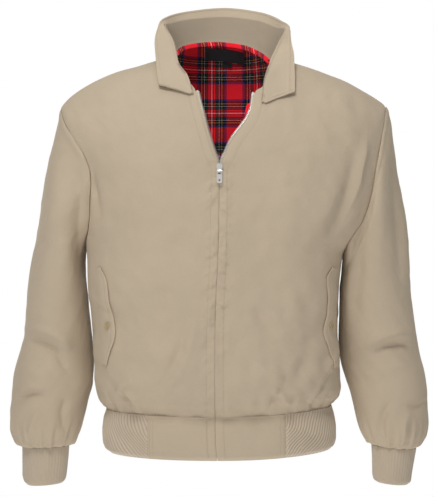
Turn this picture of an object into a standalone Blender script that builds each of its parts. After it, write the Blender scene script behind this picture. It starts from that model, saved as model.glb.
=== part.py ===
"""Harrington jacket, size M, filled out as when worn, with nobody in it.

Frame: +Z up, the front faces -Y, the wearer's left is +X. The origin lies between the
neck points on the wearer's shoulders. "right" and "left" in names are the wearer's.

The body and waistband share one form: at each height it is a superellipse with its own
half widths and depths, and above the chest it closes in an arch towards the shoulder line.
Panels are patches of that form between their seams. Sleeves and cuffs are tubes through
rings, and the collar is a band carried round the neck seam. Every piece of cloth is a
closed wall with a small gap to its neighbours.
"""

import math

import bmesh
import bpy
import numpy as np

MM = 0.001

# Cloth
CLOTH = 1.6 * MM            # lined poplin
RIB_KNIT = 2.0 * MM         # doubled rib, without its raised ribs
RIB_RISE = 0.9 * MM         # how far a rib stands out
COLLAR_CLOTH = 2.2 * MM     # two layers and interlining
LINING = 0.8 * MM
TAPE = 1.0 * MM
GAP = 0.35 * MM             # between pieces that are sewn together
LAY = 0.5 * MM              # between pieces that lie on each other
LINING_DEEP = 4.0 * MM      # the lining's outer side below the outer side of the cloth

# Body form: height, half width on the wearer's right and left, depth in front and behind
BODY = (
    # z, right, left, front, back (mm)
    (-645, 176, 184, 108, 100),
    (-638, 177, 185, 109, 101),
    (-632, 184, 190, 115, 106),
    (-620, 188, 193, 119, 109),
    (-604, 189, 193, 120, 110),
    (-584, 187, 190, 119, 109),
    (-568, 183, 186, 116, 106),
    (-560, 186, 189, 121, 110),
    (-549, 193, 197, 131, 117),
    (-535, 198, 201, 137, 120),
    (-515, 202, 201, 139, 119),
    (-480, 205, 198, 138, 116),
    (-442, 207, 197, 136, 113),
    (-376, 212, 199, 135, 111),
    (-317, 214, 206, 134, 112),
    (-290, 215, 226, 133, 114),
    (-253, 217, 252, 131, 116),
    (-214, 223, 265, 129, 117),
    (-177, 233, 273, 126, 118),
    (-137, 256, 281, 120, 118),
    (-90, 276, 290, 110, 117),
    (-50, 290, 298, 102, 117),
    (0, 300, 304, 97, 119),
    (60, 300, 304, 95, 122),
)
SQUARENESS = 2.5            # superellipse power of the body's sections
SHOULDER_ARCH = 125 * MM    # height over which the form closes to the shoulder line
ARCH_POWER = 0.58
WAIST_Z = -568              # height of the waistband's seam in BODY
HEM_Z = -638
SEAM_DROP = (               # how far waistband and hem lie below BODY's height (mm)
    # front, right side, back, left side
    (6, 2, -3, -4),
)
DROP_FADES = (-548, -380)   # the drop is whole below the first height, gone above the second

# Shoulder line: distance from the middle, height (mm)
SHOULDER_RIGHT = (
    (0, 29.4), (12, 28.6), (30, 23), (60, 15), (78, 9), (109, 0), (135, -8), (162, -15), (188, -25),
    (214, -38), (241, -56), (254, -69), (259, -76), (275, -106), (300, -170),
)
SHOULDER_LEFT = (
    (0, 29.4), (12, 28.8), (70, 13), (96, 5), (129, -3), (155, -11), (182, -21), (208, -31),
    (234, -45), (261, -61), (272, -69), (276, -74), (292, -106), (320, -170),
)
NECK_POINT = {-1: 78, 1: 96}
NECK_MIDDLE = 9
# Top of the form behind the neck, between the neck points: (x, height) in mm
NAPE = (
    (-78, 9), (-70, 27.6), (-60, 43.2), (-45, 56.4), (-30, 65.2), (-12, 71.6), (5, 73.7),
    (22, 71.2), (40, 64.4), (54, 55.1), (68, 41.8), (80, 26.3), (90, 10), (96, 5),
)
NECK_BACK_DEPTH = 78        # neck seam behind the shoulder line, at the nape
UNDERARM = {-1: -290, 1: -317}

# Armhole seams: distance from the middle, height (mm), from the underarm to the tip
ARMHOLE_FRONT = {
    -1: ((215, -290), (211, -278), (208, -255), (206, -222), (205, -190), (212, -165),
         (231, -133), (250, -102), (259, -76)),
    1: ((206, -317), (208, -307), (216, -290), (234, -262), (247, -222), (255, -178),
        (263, -138), (270, -106), (276, -74)),
}
ARMHOLE_BACK = {
    -1: ((215, -290), (212, -278), (211, -255), (214, -222), (221, -190), (231, -158),
         (241, -126), (252, -96), (259, -76)),
    1: ((206, -317), (208, -307), (216, -290), (232, -262), (245, -220), (254, -178),
        (262, -138), (270, -104), (276, -74)),
}

# Centre front: where the two zip edges meet, height and side (mm)
ZIP_TOP_Z = -175
CENTRE_FRONT = (
    (-650, 0), (-607, -4), (-510, -5), (-415, -4.5), (-379, -3), (-318, 0), (-279, 1),
    (-175, 2.3), (-100, 2.3),
)
# Cloth edges of the open neck, above the zip's slider (mm)
OPEN_EDGE = {
    -1: ((1.9, -175), (-7, -160), (-15, -135), (-21, -114), (-25, -98), (-30, -82), (-34, -64),
         (-37, -53)),
    1: ((2.7, -175), (13, -160), (19, -146), (27, -132), (39, -116), (50, -99), (56, -82),
        (58, -68), (60, -56)),
}
# Neck seam in front, from the open edge's top to the neck point (mm)
NECK_FRONT = {
    -1: ((-37, -53), (-42, -47), (-62, -28), (-73, -10), (-78, 9)),
    1: ((60, -56), (71, -50), (84, -31), (93, -12), (96, 5)),
}

# Folds in the cloth of the front: points, height of the fold over the cloth, half width (mm)
FOLDS_FRONT = (
    (((-190, -250), (-207, -196), (-226, -150)), -3.0, 9),
    (((-44, -398), (-52, -440), (-66, -485), (-104, -538)), -2.5, 9),
    (((-32, -398), (-40, -440), (-54, -486), (-90, -540)), 2.2, 10),
    (((168, -545), (148, -500), (128, -470)), 2.6, 11),
    (((182, -505), (166, -538), (156, -556)), -2.8, 7),
    (((95, -540), (78, -515), (62, -495)), 1.8, 8),
    (((-158, -533), (-148, -548), (-140, -560)), -3.0, 6),
    (((222, -160), (211, -205), (192, -262), (168, -300)), -3.5, 15),
    (((238, -130), (232, -165), (224, -205), (214, -245)), 2.6, 8),
)
FOLDS_BACK = (
    (((-196, -240), (-150, -300), (-90, -330)), 3.0, 16),
    (((190, -250), (140, -310), (80, -345)), 3.0, 16),
    (((-160, -520), (-110, -480), (-60, -470)), -2.5, 12),
    (((150, -525), (100, -488), (50, -476)), -2.5, 12),
)

# Sleeves: outer and inner edge seen from the front, half depth and middle in Y (mm)
SLEEVE = {
    -1: (
        # outer x, z, inner x, z, half depth, middle y
        (-263, -84, -218, -294, 66, 0),
        (-271, -128, -219, -310, 70, 4),
        (-280, -170, -219, -330, 73, 8),
        (-290, -214, -219, -353, 73, 12),
        (-300, -270, -217, -380, 71, 16),
        (-311, -330, -214, -413, 69, 20),
        (-318, -387, -210, -448, 68, 24),
        (-321, -440, -208, -480, 67, 25),
        (-330, -482, -207, -503, 66, 24),
        (-338, -515, -207, -527, 64, 20),
        (-342, -552, -213, -552, 62, 14),
        (-344, -582, -220, -579, 60, 8),
        (-342, -604, -226, -601, 57, 3),
        (-335, -621, -234, -619, 50, -2),
        (-323, -633, -244, -631, 37, -5),
    ),
    1: (
        (276, -73, 207, -317, 68, 0),
        (286, -100, 207, -330, 71, 4),
        (291, -133, 206, -341, 73, 8),
        (297, -176, 205, -356, 74, 12),
        (304, -222, 203, -374, 73, 15),
        (311, -276, 202, -396, 71, 18),
        (316, -334, 201, -421, 69, 22),
        (322, -393, 200, -448, 68, 25),
        (329, -447, 200, -475, 67, 25),
        (336, -488, 204, -497, 65, 24),
        (343, -518, 213, -526, 63, 20),
        (348, -556, 222, -556, 61, 14),
        (348, -592, 229, -588, 58, 8),
        (344, -614, 236, -609, 53, 3),
        (335, -627, 244, -622, 46, -1),
        (325, -636, 253, -630, 37, -5),
    ),
}
CUFF = {
    -1: (
        (-322, -633.1, -245, -631.1, 35, -5),
        (-321, -655, -247, -655, 34, -8),
        (-321, -677, -249, -676, 33, -10),
        (-318, -689, -251, -686, 32, -12),
        (-312, -695, -255, -691, 29, -12),
    ),
    1: (
        (326, -636.1, 253, -630.1, 35, -5),
        (322, -656, 254, -654, 34, -8),
        (318, -677, 254, -676, 33, -10),
        (316, -689, 256, -686, 32, -12),
        (311, -694, 261, -690, 29, -12),
    ),
}
SLEEVE_SETTLES = 0.16       # share of the sleeve over which it leaves the armhole's shape
BESIDE_BODY = 1.5 * MM      # room between sleeve and side
CHEST_FREE = 60             # above the chest the sleeve stands clear of the sides by itself (mm)
SLEEVE_GATHERS = 18
BODY_GATHERS = 30
GATHER_RISE = 2.4 * MM

# Collar: place along the neck seam (-1 right end, 0 nape, 1 left end), roll line, edge (mm)
COLLAR = (
    # place, roll x, y, z, edge x, y, z
    (-1.000, -42, -98, -60, -95, -84, -46),
    (-0.875, -50, -84, -32, -98, -67, -28),
    (-0.750, -65, -62, -8, -101, -45, -2),
    (-0.625, -74, -30, 31, -104, -18, 31),
    (-0.500, -88, -2, 61, -97, 0, 63),
    (-0.350, -78, 40, 70, -83, 43, 82),
    (-0.200, -46, 71, 81, -50, 76, 95),
    (0.000, 10, 87, 87, 11, 93, 103),
    (0.200, 69, 71, 78, 73, 76, 93),
    (0.350, 100, 40, 62, 105, 43, 75),
    (0.500, 110, -2, 55, 118, 0, 56),
    (0.625, 98, -22, 24, 121, -14, 30),
    (0.750, 86, -44, -3, 124, -34, 7),
    (0.875, 76, -72, -36, 124, -60, -22),
    (1.000, 72, -101, -75, 123, -88, -58),
)
ROLL_RADIUS = 2.6 * MM
LEAF_LIFT = 3.0 * MM        # room between the turned-out collar and the chest

# Ribs of the knit
WAIST_RIBS = 138
CUFF_RIBS = 44
RIB_LEAN = 9 * MM
WAIST_PANEL_RIGHT = -111.5  # where the woven waistband ends and the rib begins (mm)
WAIST_PANEL_LEFT = 107
WAIST_PANEL_ROWS = (WAIST_Z, -584, -604, -622, -632, HEM_Z)
WAIST_LAYERS = 0.6 * MM     # what the doubled waistband is thicker than the body

# Pocket flaps: edge by the side seam and free edge, top to bottom (mm)
FLAP = {
    -1: (
        # attached x, z, free x, z
        (-192, -340, -186, -337),
        (-192, -360, -175, -362),
        (-191, -390, -172, -392),
        (-189, -415, -167, -417),
        (-188, -440, -162.5, -440),
        (-186, -470, -172, -472),
        (-184, -490, -177, -493),
    ),
    1: (
        (190, -341, 184, -337),
        (190, -358, 174, -358),
        (190, -385, 175, -388),
        (190, -410, 174, -412),
        (190, -440, 168, -444),
        (190, -472, 174, -470),
        (190, -500, 184, -503),
    ),
}
FLAP_CLOTH = 2.0 * MM
FLAP_LIFT = 0.6 * MM
FLAP_BUTTON = {-1: (-174.6, -430), 1: (179.5, -432)}
BUTTON_RADIUS = 5.6 * MM
BUTTON_PROFILE = ((0.0, 0.3), (4.2, 0.3), (5.2, 0.8), (5.6, 1.5), (5.2, 2.2), (4.4, 2.4),
                  (3.6, 1.9), (0.0, 1.7))

# Neck label and size tab inside the back: columns and rows in the back panel's places
LABEL_COLUMNS = (-0.098, -0.065, 0.0, 0.063, 0.112)
LABEL_ROWS = (0.948, 0.967, 0.988)
TAB_COLUMNS = (0.0, 0.030, 0.046)
TAB_ROWS = (0.930, 0.945)
LABEL_TURN = 0.03
LABEL_CLOTH = 0.7 * MM
LABEL_LAY = 0.8 * MM

# Zip
TAPE_SHOWS = 5.0            # tape and teeth past the cloth's edge (mm)
TAPE_HIDDEN = 9.0
SLIDER_TOP_Z = -174
SLIDER_LENGTH = 15
SLIDER_HALF_WIDTH = (4.6, 3.2)
SLIDER_THICK = 2.6
SLIDER_LIFT = 1.0
BRIDGE_INNER = 1.15
BRIDGE_OUTER = 2.4
BRIDGE_HALF_WIDTH = 1.2
BAR_RADIUS = 0.65
PULL_EYE = (3.1, 5.6)       # half width and length of the eye
PULL_PLATE = (4.4, 19.5)    # half width, and length from the bar
PULL_THICK = 1.3
PULL_HOLE = (14.8, 1.6)     # distance from the bar, radius

# How finely the solids are divided
COLUMNS_FRONT = 8
COLUMNS_BACK = (4, 6)       # neck, shoulder, on each half
ROWS_SIDE = 7
ROWS_ARM = 12
ROWS_GATHER = 3
GATHER_DIVISIONS = 3
SLEEVE_ROWS = 11
UNDERARM_AT = 0.48
OPEN_TOP_ROW = 7            # rows above the underarm at which the open edge and collar end
COLLAR_END_ROW = 8
OPEN_TOP_AT = UNDERARM_AT + (1 - UNDERARM_AT) * OPEN_TOP_ROW / ROWS_ARM
COLLAR_END_AT = UNDERARM_AT + (1 - UNDERARM_AT) * COLLAR_END_ROW / ROWS_ARM


# ---------------------------------------------------------------- curves

def smooth(places, values, at):
    """Smooth curve through table values: cubic pieces with slopes that never overshoot."""
    places = np.asarray(places, float)
    values = np.asarray(values, float)
    at = np.clip(at, places[0], places[-1])
    step = np.diff(places)
    rise = np.diff(values) / step
    slope = np.zeros_like(values)
    same = rise[1:] * rise[:-1] > 0
    total = np.where(same, rise[1:] + rise[:-1], 1.0)
    slope[1:-1] = np.where(same, 2 * rise[1:] * rise[:-1] / total, 0.0)
    slope[0], slope[-1] = rise[0], rise[-1]
    i = np.clip(np.searchsorted(places, at) - 1, 0, len(step) - 1)
    h = step[i]
    u = (at - places[i]) / h
    return ((1 + 2 * u) * (1 - u) ** 2 * values[i] + u * (1 - u) ** 2 * h * slope[i]
            + u * u * (3 - 2 * u) * values[i + 1] + u * u * (u - 1) * h * slope[i + 1])


def smoothstep(low, high, at):
    u = np.clip((at - low) / (high - low), 0, 1)
    return u * u * (3 - 2 * u)


def path(points, count=240):
    """Dense points on a smooth curve through the given ones, closest at its end."""
    points = np.asarray(points, float)
    lengths = np.r_[0, np.cumsum(np.linalg.norm(np.diff(points, axis=0), axis=1))]
    at = lengths[-1] * (1 - (1 - np.linspace(0, 1, count)) ** 3)
    return np.stack([smooth(lengths, points[:, k], at) for k in range(points.shape[1])], 1)


def column(table, index):
    return np.asarray([row[index] for row in table], float)


BODY_Z = column(BODY, 0) * MM
BODY_COLUMNS = [column(BODY, k) * MM for k in range(1, 5)]
SHOULDER = {-1: np.asarray(SHOULDER_RIGHT, float) * MM, 1: np.asarray(SHOULDER_LEFT, float) * MM}


# ---------------------------------------------------------------- body form

def half_width(x, z):
    return np.where(x < 0, smooth(BODY_Z, BODY_COLUMNS[0], z), smooth(BODY_Z, BODY_COLUMNS[1], z))


def depth(face, z):
    return smooth(BODY_Z, BODY_COLUMNS[2 if face > 0 else 3], z)


def neck_place(x):
    """Place across the neck: 0 at its middle, 1 at either neck point."""
    reach = np.where(x < NECK_MIDDLE * MM, (NECK_MIDDLE + NECK_POINT[-1]) * MM,
                     (NECK_POINT[1] - NECK_MIDDLE) * MM)
    return np.abs(x - NECK_MIDDLE * MM) / reach


def shoulder_line(face, x):
    """Height of the shoulder line; behind, it rises round the nape."""
    height = np.where(x < 0, smooth(*SHOULDER[-1].T, np.abs(x)), smooth(*SHOULDER[1].T, np.abs(x)))
    if face < 0:
        behind = np.asarray(NAPE, float).T * MM
        inside = (x > behind[0, 0]) & (x < behind[0, -1])
        height = np.where(inside, smooth(*behind, x), height)
    return height


def arch(share):
    share = np.clip(share, 0, 1)
    return (share * (2 - share)) ** ARCH_POWER


def body_y(face, x, z):
    """Y of the body form in front (face 1) or behind (face -1)."""
    r = np.clip(np.abs(x) / half_width(x, z), 0, 1)
    round_side = (1 - r ** SQUARENESS) ** (1 / SQUARENESS)
    return -face * depth(face, z) * round_side * arch((shoulder_line(face, x) - z) / SHOULDER_ARCH)


def drop(face, x, z):
    """How far a point near the waistband lies below its table height."""
    front, right, back, left = SEAM_DROP[0]
    r = np.clip(np.abs(x) / half_width(x, z), 0, 1) ** 2
    middle = front if face > 0 else back
    side = np.where(x < 0, right, left)
    fade = 1 - smoothstep(DROP_FADES[0] * MM, DROP_FADES[1] * MM, z)
    return (middle * (1 - r) + side * r) * MM * fade


def on_body(face, x, z):
    return np.stack([x, body_y(face, x, z), z - drop(face, x, z)], -1)


def fold_height(face, x, z):
    """Sum of the folds: each is a rounded ridge or trough along its line, fading at its ends."""
    total = np.zeros_like(x)
    for line, height, width in FOLDS_FRONT if face > 0 else FOLDS_BACK:
        points = path(line, 24) * MM
        dist = np.hypot(x[..., None] - points[:, 0], z[..., None] - points[:, 1])
        nearest = dist.argmin(-1) / (len(points) - 1)
        ends = np.sin(np.pi * np.clip(nearest, 0.02, 0.98)) ** 0.5
        total += height * MM * ends * np.exp(-(dist.min(-1) / (width * MM)) ** 2)
    return total


def body_skin(face, x, z, out):
    """Point of the body's cloth moved out along the normal, away from sides and shoulders."""
    e = 0.5 * MM
    p = on_body(face, x, z)
    dx = on_body(face, x + e, z) - on_body(face, x - e, z)
    dz = on_body(face, x, z + e) - on_body(face, x, z - e)
    n = np.cross(dx, dz)
    n *= -face * np.sign(n[..., 1:2]) / np.linalg.norm(n, axis=-1, keepdims=True)
    return p + n * (fold_height(face, x, z) + out)[..., None]


# ---------------------------------------------------------------- panels of the body

def centre_front(z):
    return smooth(column(CENTRE_FRONT, 0) * MM, column(CENTRE_FRONT, 1) * MM, z)


def neck_seam_back(x):
    """Height of the back neck seam: where the form reaches the neck's ellipse."""
    u = np.clip(neck_place(x), 0, 1)
    wanted = NECK_BACK_DEPTH * MM * np.sqrt(1 - u * u)
    line = shoulder_line(-1, x)
    share = np.clip(wanted / depth(-1, line), 0, 0.999) ** (1 / ARCH_POWER)
    return line - SHOULDER_ARCH * (1 - np.sqrt(1 - share))


def paced(lines, face, marks):
    """Joins dense lines (x, z) and gives each point a place by its length between marks."""
    points = np.concatenate(lines)
    ends = np.cumsum([len(line) for line in lines]) - 1
    place = on_body(face, points[:, 0], points[:, 1])
    length = np.r_[0, np.cumsum(np.linalg.norm(np.diff(place, axis=0), axis=1))]
    at = np.interp(length, np.r_[0, length[ends]], np.r_[0, marks])
    return at, points[:, 0], points[:, 1]


def seam_tables(face, side):
    """Inner and outer boundary of a half panel, from the waist seam to the shoulder seam."""
    rise = np.linspace(WAIST_Z * MM, UNDERARM[side] * MM, 160)
    below = np.stack([side * half_width(side * np.ones_like(rise), rise), rise], 1)
    table = np.asarray((ARMHOLE_FRONT if face > 0 else ARMHOLE_BACK)[side], float) * MM
    armhole = path(table * (side, 1))
    outer = paced([below, armhole], face, (UNDERARM_AT, 1.0))
    if face > 0:
        up = np.linspace(WAIST_Z * MM, ZIP_TOP_Z * MM, 160)
        closed = np.stack([centre_front(up) + side * GAP / 2, up], 1)
        edge = path(np.asarray(OPEN_EDGE[side], float) * MM)
        neck = np.asarray(NECK_FRONT[side], float) * MM
        stub = path(neck[:2], 20)
        seam = path(neck[1:])
        inner = paced([np.concatenate([closed, edge]), stub, seam], face,
                      (OPEN_TOP_AT, COLLAR_END_AT, 1.0))
    else:
        nape = neck_seam_back(np.asarray(NECK_MIDDLE * MM))
        up = np.linspace(WAIST_Z * MM, float(nape), 200)
        middle = NECK_MIDDLE * MM * smoothstep(WAIST_Z * MM, float(nape), up)
        inner = paced([np.stack([middle, up], 1)], face, (1.0,))
    return inner, outer


SEAMS = {(face, side): seam_tables(face, side) for face in (1, -1) for side in (-1, 1)}


def top_line(face, x):
    """Upper edge of a panel: the shoulder seam and, behind, the neck seam."""
    line = shoulder_line(face, x)
    if face < 0:
        line = np.where(neck_place(x) < 1, neck_seam_back(x), line)
    return line


def half_panel(face, side, s, t):
    """Body form between centre (s 0) and side seam or armhole (s 1), waist (t 0) to top (t 1)."""
    inner, outer = SEAMS[face, side]
    xi, zi = np.interp(t, inner[0], inner[1]), np.interp(t, inner[0], inner[2])
    xo, zo = np.interp(t, outer[0], outer[1]), np.interp(t, outer[0], outer[2])
    start = np.arcsin(np.clip(xi / half_width(xo, zi), -1, 1))
    stop = np.arcsin(np.clip(xo / half_width(xo, zo), -1, 1))
    share = ((np.sin(start + (stop - start) * s) - np.sin(start))
             / (np.sin(stop) - np.sin(start)))
    x = xi + (xo - xi) * share
    bend = smoothstep(0.55, 1.0, t)
    chord = top_line(face, xi) * (1 - share) + top_line(face, xo) * share
    z = zi + (zo - zi) * share + bend * (top_line(face, x) - chord)
    return x, z


def gather_wave(s, t, starts):
    """Gathers above the waistband's rib: waves that fade upwards and towards the front."""
    fade = 1 - smoothstep(0.0, 0.11, t)
    rounded = np.minimum(1, t / 0.012) * 0.8 + 0.2
    reach = smoothstep(starts, starts + 0.12, s)
    wave = 1 + np.cos(2 * np.pi * s * BODY_GATHERS / 4)
    return GATHER_RISE * fade * rounded * reach * wave


def panel_point(face, side, s, t, gathered=1.0):
    """Point of a half panel with its folds and gathers, before the wall's thickness."""
    if face < 0:
        side = np.where(s < 0, -1, 1)
        s = np.abs(s)
        right = half_panel(face, -1, s, t)
        left = half_panel(face, 1, s, t)
        x = np.where(side < 0, right[0], left[0])
        z = np.where(side < 0, right[1], left[1])
        starts = -0.2
    else:
        x, z = half_panel(face, side, s, t)
        starts = 0.42
    p = on_body(face, x, z)
    out = fold_height(face, x, z) * smoothstep(0.0, 0.08, 1 - t) * smoothstep(0, 0.06, 1 - s)
    out = out + gathered * gather_wave(s, t, starts)
    away = p - np.stack([0 * x, 0 * x, p[..., 2] - 0.2 * out], -1)
    away = away / np.linalg.norm(away, axis=-1, keepdims=True)
    return p + away * out[..., None]


def with_normal(surface, s, t, s_ends):
    """Points and unit normals of surface(s, t), by small steps kept inside its ends."""
    e = 0.0015
    low_s, high_s = np.maximum(s - e, s_ends[0]), np.minimum(s + e, s_ends[1])
    low_t, high_t = np.maximum(t - e, 0), np.minimum(t + e, 1)
    ds = surface(high_s, t) - surface(low_s, t)
    dt = surface(s, high_t) - surface(s, low_t)
    n = np.cross(ds, dt)
    return surface(s, t), n / np.linalg.norm(n, axis=-1, keepdims=True)


def facing_away(points, normals, middle):
    """The normals, each turned to point away from the middle."""
    return normals * np.sign(((points - middle) * normals).sum(-1))[:, None]


def panel_skin(face, side, s, t, gathered=1.0):
    """Points and outward normals of a panel."""
    def surface(u, v):
        return panel_point(face, side, u, v, gathered)

    ends = (-1.0, 1.0) if face < 0 else (0.0, 1.0)
    points, normals = with_normal(surface, s, t, ends)
    return points, facing_away(points, normals, (0.0, 0.0, -0.25))


# ---------------------------------------------------------------- making solids

def material(name, colour, roughness, metallic=0.0):
    made = bpy.data.materials.new(name)
    made.use_nodes = True
    shader = made.node_tree.nodes["Principled BSDF"]
    shader.inputs["Base Color"].default_value = (*colour, 1.0)
    shader.inputs["Roughness"].default_value = roughness
    shader.inputs["Metallic"].default_value = metallic
    return made


STONE = (0.48, 0.40, 0.30)
KNIT = (0.40, 0.33, 0.24)
FINISH = {
    "cloth": (STONE, 0.85, 0.0),
    "knit": (KNIT, 0.9, 0.0),
    "tartan": ((0.45, 0.02, 0.03), 0.9, 0.0),
    "label": ((0.01, 0.01, 0.012), 0.7, 0.0),
    "tape": ((0.42, 0.36, 0.27), 0.85, 0.0),
    "button": ((0.33, 0.27, 0.19), 0.35, 0.0),
    "metal": ((0.62, 0.61, 0.58), 0.3, 1.0),
}


def finish_object(name, kind, verts, faces, smooth_angle=50):
    mesh = bpy.data.meshes.new(name)
    mesh.from_pydata([tuple(v) for v in verts], [], faces)
    bm = bmesh.new()
    bm.from_mesh(mesh)
    bmesh.ops.recalc_face_normals(bm, faces=bm.faces)
    bm.to_mesh(mesh)
    bm.free()
    mesh.shade_smooth()
    mesh.set_sharp_from_angle(angle=math.radians(smooth_angle))
    made = bpy.data.objects.new(name, mesh)
    made.data.materials.append(material(name, *FINISH[kind]))
    bpy.context.scene.collection.objects.link(made)
    return made


def strip(faces, low, low_at, high, high_at):
    """Triangles between two rows of points, matched by their places along the rows."""
    i = j = 0
    while i < len(low) - 1 or j < len(high) - 1:
        ahead = j == len(high) - 1 or (i < len(low) - 1 and low_at[i + 1] <= high_at[j + 1])
        if ahead:
            faces.append((low[i], low[i + 1], high[j]))
            i += 1
        else:
            faces.append((low[i], high[j + 1], high[j]))
            j += 1


def wall(name, kind, outer, inner, closed=False):
    """Closed wall from rows of (places, points) on its two sides.

    A closed wall is a tube: its rows run round and return to their first point.
    """
    verts, faces, sides = [], [], []
    for rows in (outer, inner):
        numbered = []
        for places, points in rows:
            first = len(verts)
            verts.extend(points)
            index = list(range(first, first + len(points)))
            if closed:
                index.append(first)
                places = list(places) + [places[0] + 1.0]
            numbered.append((index, places))
        for (low, low_at), (high, high_at) in zip(numbered, numbered[1:]):
            strip(faces, low, low_at, high, high_at)
        sides.append(numbered)
    for end in (0, -1):
        strip(faces, *sides[0][end], *sides[1][end])
    if not closed:
        for end in (0, -1):
            out = [index[end] for index, _ in sides[0]]
            lining = [index[end] for index, _ in sides[1]]
            strip(faces, out, range(len(out)), lining, range(len(lining)))
    return finish_object(name, kind, verts, faces)


def patch(name, kind, surface, s_rows, t_rows, out, thick):
    """Wall of even thickness: surface(s, t, out) gives points a distance out from the form."""
    outer, inner = [], []
    for t in t_rows:
        s = np.asarray(s_rows, float)
        row = np.full_like(s, t)
        outer.append((list(s), surface(s, row, out)))
        inner.append((list(s), surface(s, row, out - thick)))
    return wall(name, kind, outer, inner)


# ---------------------------------------------------------------- front and back

def row_places():
    """Heights of a panel's rows: close in the gathers, even up the side and the armhole."""
    gathers = np.linspace(0, 0.05, ROWS_GATHER + 1)[:-1]
    side = np.linspace(0.05, UNDERARM_AT, ROWS_SIDE + 1)[:-1]
    arm = np.linspace(UNDERARM_AT, 1, ROWS_ARM + 1)
    return np.r_[gathers, side, arm]


def back_columns():
    """Columns of the back: one falls on each neck point in the top row."""
    half = []
    dense = np.linspace(0, 1, 400)
    for side in (-1, 1):
        x, _ = half_panel(-1, side, dense, np.ones_like(dense))
        corner = np.interp(1.0, neck_place(x), dense)
        neck, shoulder = COLUMNS_BACK
        half.append(np.r_[np.linspace(0, corner, neck + 1), np.linspace(corner, 1, shoulder + 1)[1:]])
    return np.r_[-half[0][:0:-1], half[1]], (-half[0][COLUMNS_BACK[0]], half[1][COLUMNS_BACK[0]])


def panel_columns(columns, row, starts):
    """Columns of a row: the lowest rows have several for each gather."""
    if row >= ROWS_GATHER:
        return columns
    gather = 1 / (BODY_GATHERS / 4 * GATHER_DIVISIONS)
    fine = np.arange(math.ceil(starts / gather), round(1 / gather) + 1) * gather
    plain = columns[columns < starts - gather / 3]
    if columns[0] < 0:
        return np.r_[-fine[:0:-1], fine] if starts <= 0 else columns
    return np.r_[plain, fine]


def panel(name, face, side, columns, starts):
    """Front or back panel as a wall; its shoulder and side seams keep half a gap each."""
    outer, inner = [], []
    for row, t in enumerate(row_places()):
        s = panel_columns(columns, row, starts)
        points, normal = panel_skin(face, side, s, np.full_like(s, t))
        sewn = (np.abs(s) > 0.9999) & (t <= UNDERARM_AT + 1e-9) | (t > 0.9999)
        points[:, 1] -= np.where(sewn, face * GAP / 2, 0.0)
        outer.append((list(s), points))
        inner.append((list(s), points - CLOTH * normal))
    return wall(name, "cloth", outer, inner)


# ---------------------------------------------------------------- sleeves and cuffs

def armhole_loop(side, places):
    """Armhole round its edge: 0 at the shoulder tip, 0.25 behind, 0.5 underarm, 0.75 in front.

    Gives the points on the panels, their normals, and the direction across the seam.
    """
    around = np.mod(places, 1.0)
    behind = around <= 0.5
    up = np.where(behind, 1 - (1 - UNDERARM_AT) * around / 0.5,
                  UNDERARM_AT + (1 - UNDERARM_AT) * (around - 0.5) / 0.5)
    points = np.zeros((len(around), 3))
    normals = np.zeros((len(around), 3))
    for face, mask in ((-1, behind), (1, ~behind)):
        t = up[mask]
        s = np.full_like(t, side if face < 0 else 1.0)
        points[mask], normals[mask] = panel_skin(face, side, s, t)
    tangent = np.roll(points, -1, 0) - np.roll(points, 1, 0)
    across = np.cross(tangent, normals)
    across /= np.linalg.norm(across, axis=-1, keepdims=True)
    across *= np.sign((across * (points.mean(0) - points)).sum(-1))[:, None]
    return points, normals, across


def ring_tables(table):
    """Places along a tube by the length of its centre line, and its columns."""
    data = np.asarray(table, float) * MM
    middle = (data[:, 0:2] + data[:, 2:4]) / 2
    length = np.r_[0, np.cumsum(np.linalg.norm(np.diff(middle, axis=0), axis=1))]
    return length / length[-1], data


def ring_point(tables, around, along):
    """Elliptical ring between its outer and inner edge, seen from the front."""
    places, data = tables
    xo, zo, xi, zi, half_depth, middle = (smooth(places, data[:, k], along) for k in range(6))
    turn = 2 * np.pi * around
    c, s = np.cos(turn), np.sin(turn)
    x = (xo + xi) / 2 + (xo - xi) / 2 * c
    z = (zo + zi) / 2 + (zo - zi) / 2 * c
    return np.stack([x, middle + half_depth * s, z], -1)


def beside_body(side, points, room):
    """Moves points out to lie beside the body where they would press into it."""
    x, y, z = points[..., 0], points[..., 1], points[..., 2]
    a = half_width(np.full_like(z, side), z)
    b = np.where(y < 0, depth(1, z), depth(-1, z))
    r = np.clip(np.abs(y) / b, 0, 1)
    edge = a * (1 - r ** SQUARENESS) ** (1 / SQUARENESS) + room
    edge -= CHEST_FREE * MM * smoothstep(-0.19, -0.13, z)
    return np.stack([side * np.maximum(side * x, edge), y, z], -1)


def sleeve_point(side, tables, loop_at, around, along):
    """Ring of the sleeve; near the armhole it keeps the difference to the armhole's shape."""
    p = ring_point(tables, around, along)
    stay = 1 - smoothstep(0, SLEEVE_SETTLES, along)
    first = ring_point(tables, around, np.zeros_like(along))
    p = p + (loop_at(around) - first) * stay[..., None]
    gathers = smoothstep(0.90, 0.985, along) * (1 - 0.6 * smoothstep(0.985, 1.0, along))
    wave = GATHER_RISE * gathers * np.cos(2 * np.pi * SLEEVE_GATHERS * around)
    middle = ring_point(tables, around, along) - ring_point(tables, around + 0.5, along)
    away = middle / np.linalg.norm(middle, axis=-1, keepdims=True)
    p = p + away * wave[..., None]
    return beside_body(side, p, BESIDE_BODY * smoothstep(0.0, 0.04, along))


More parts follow.
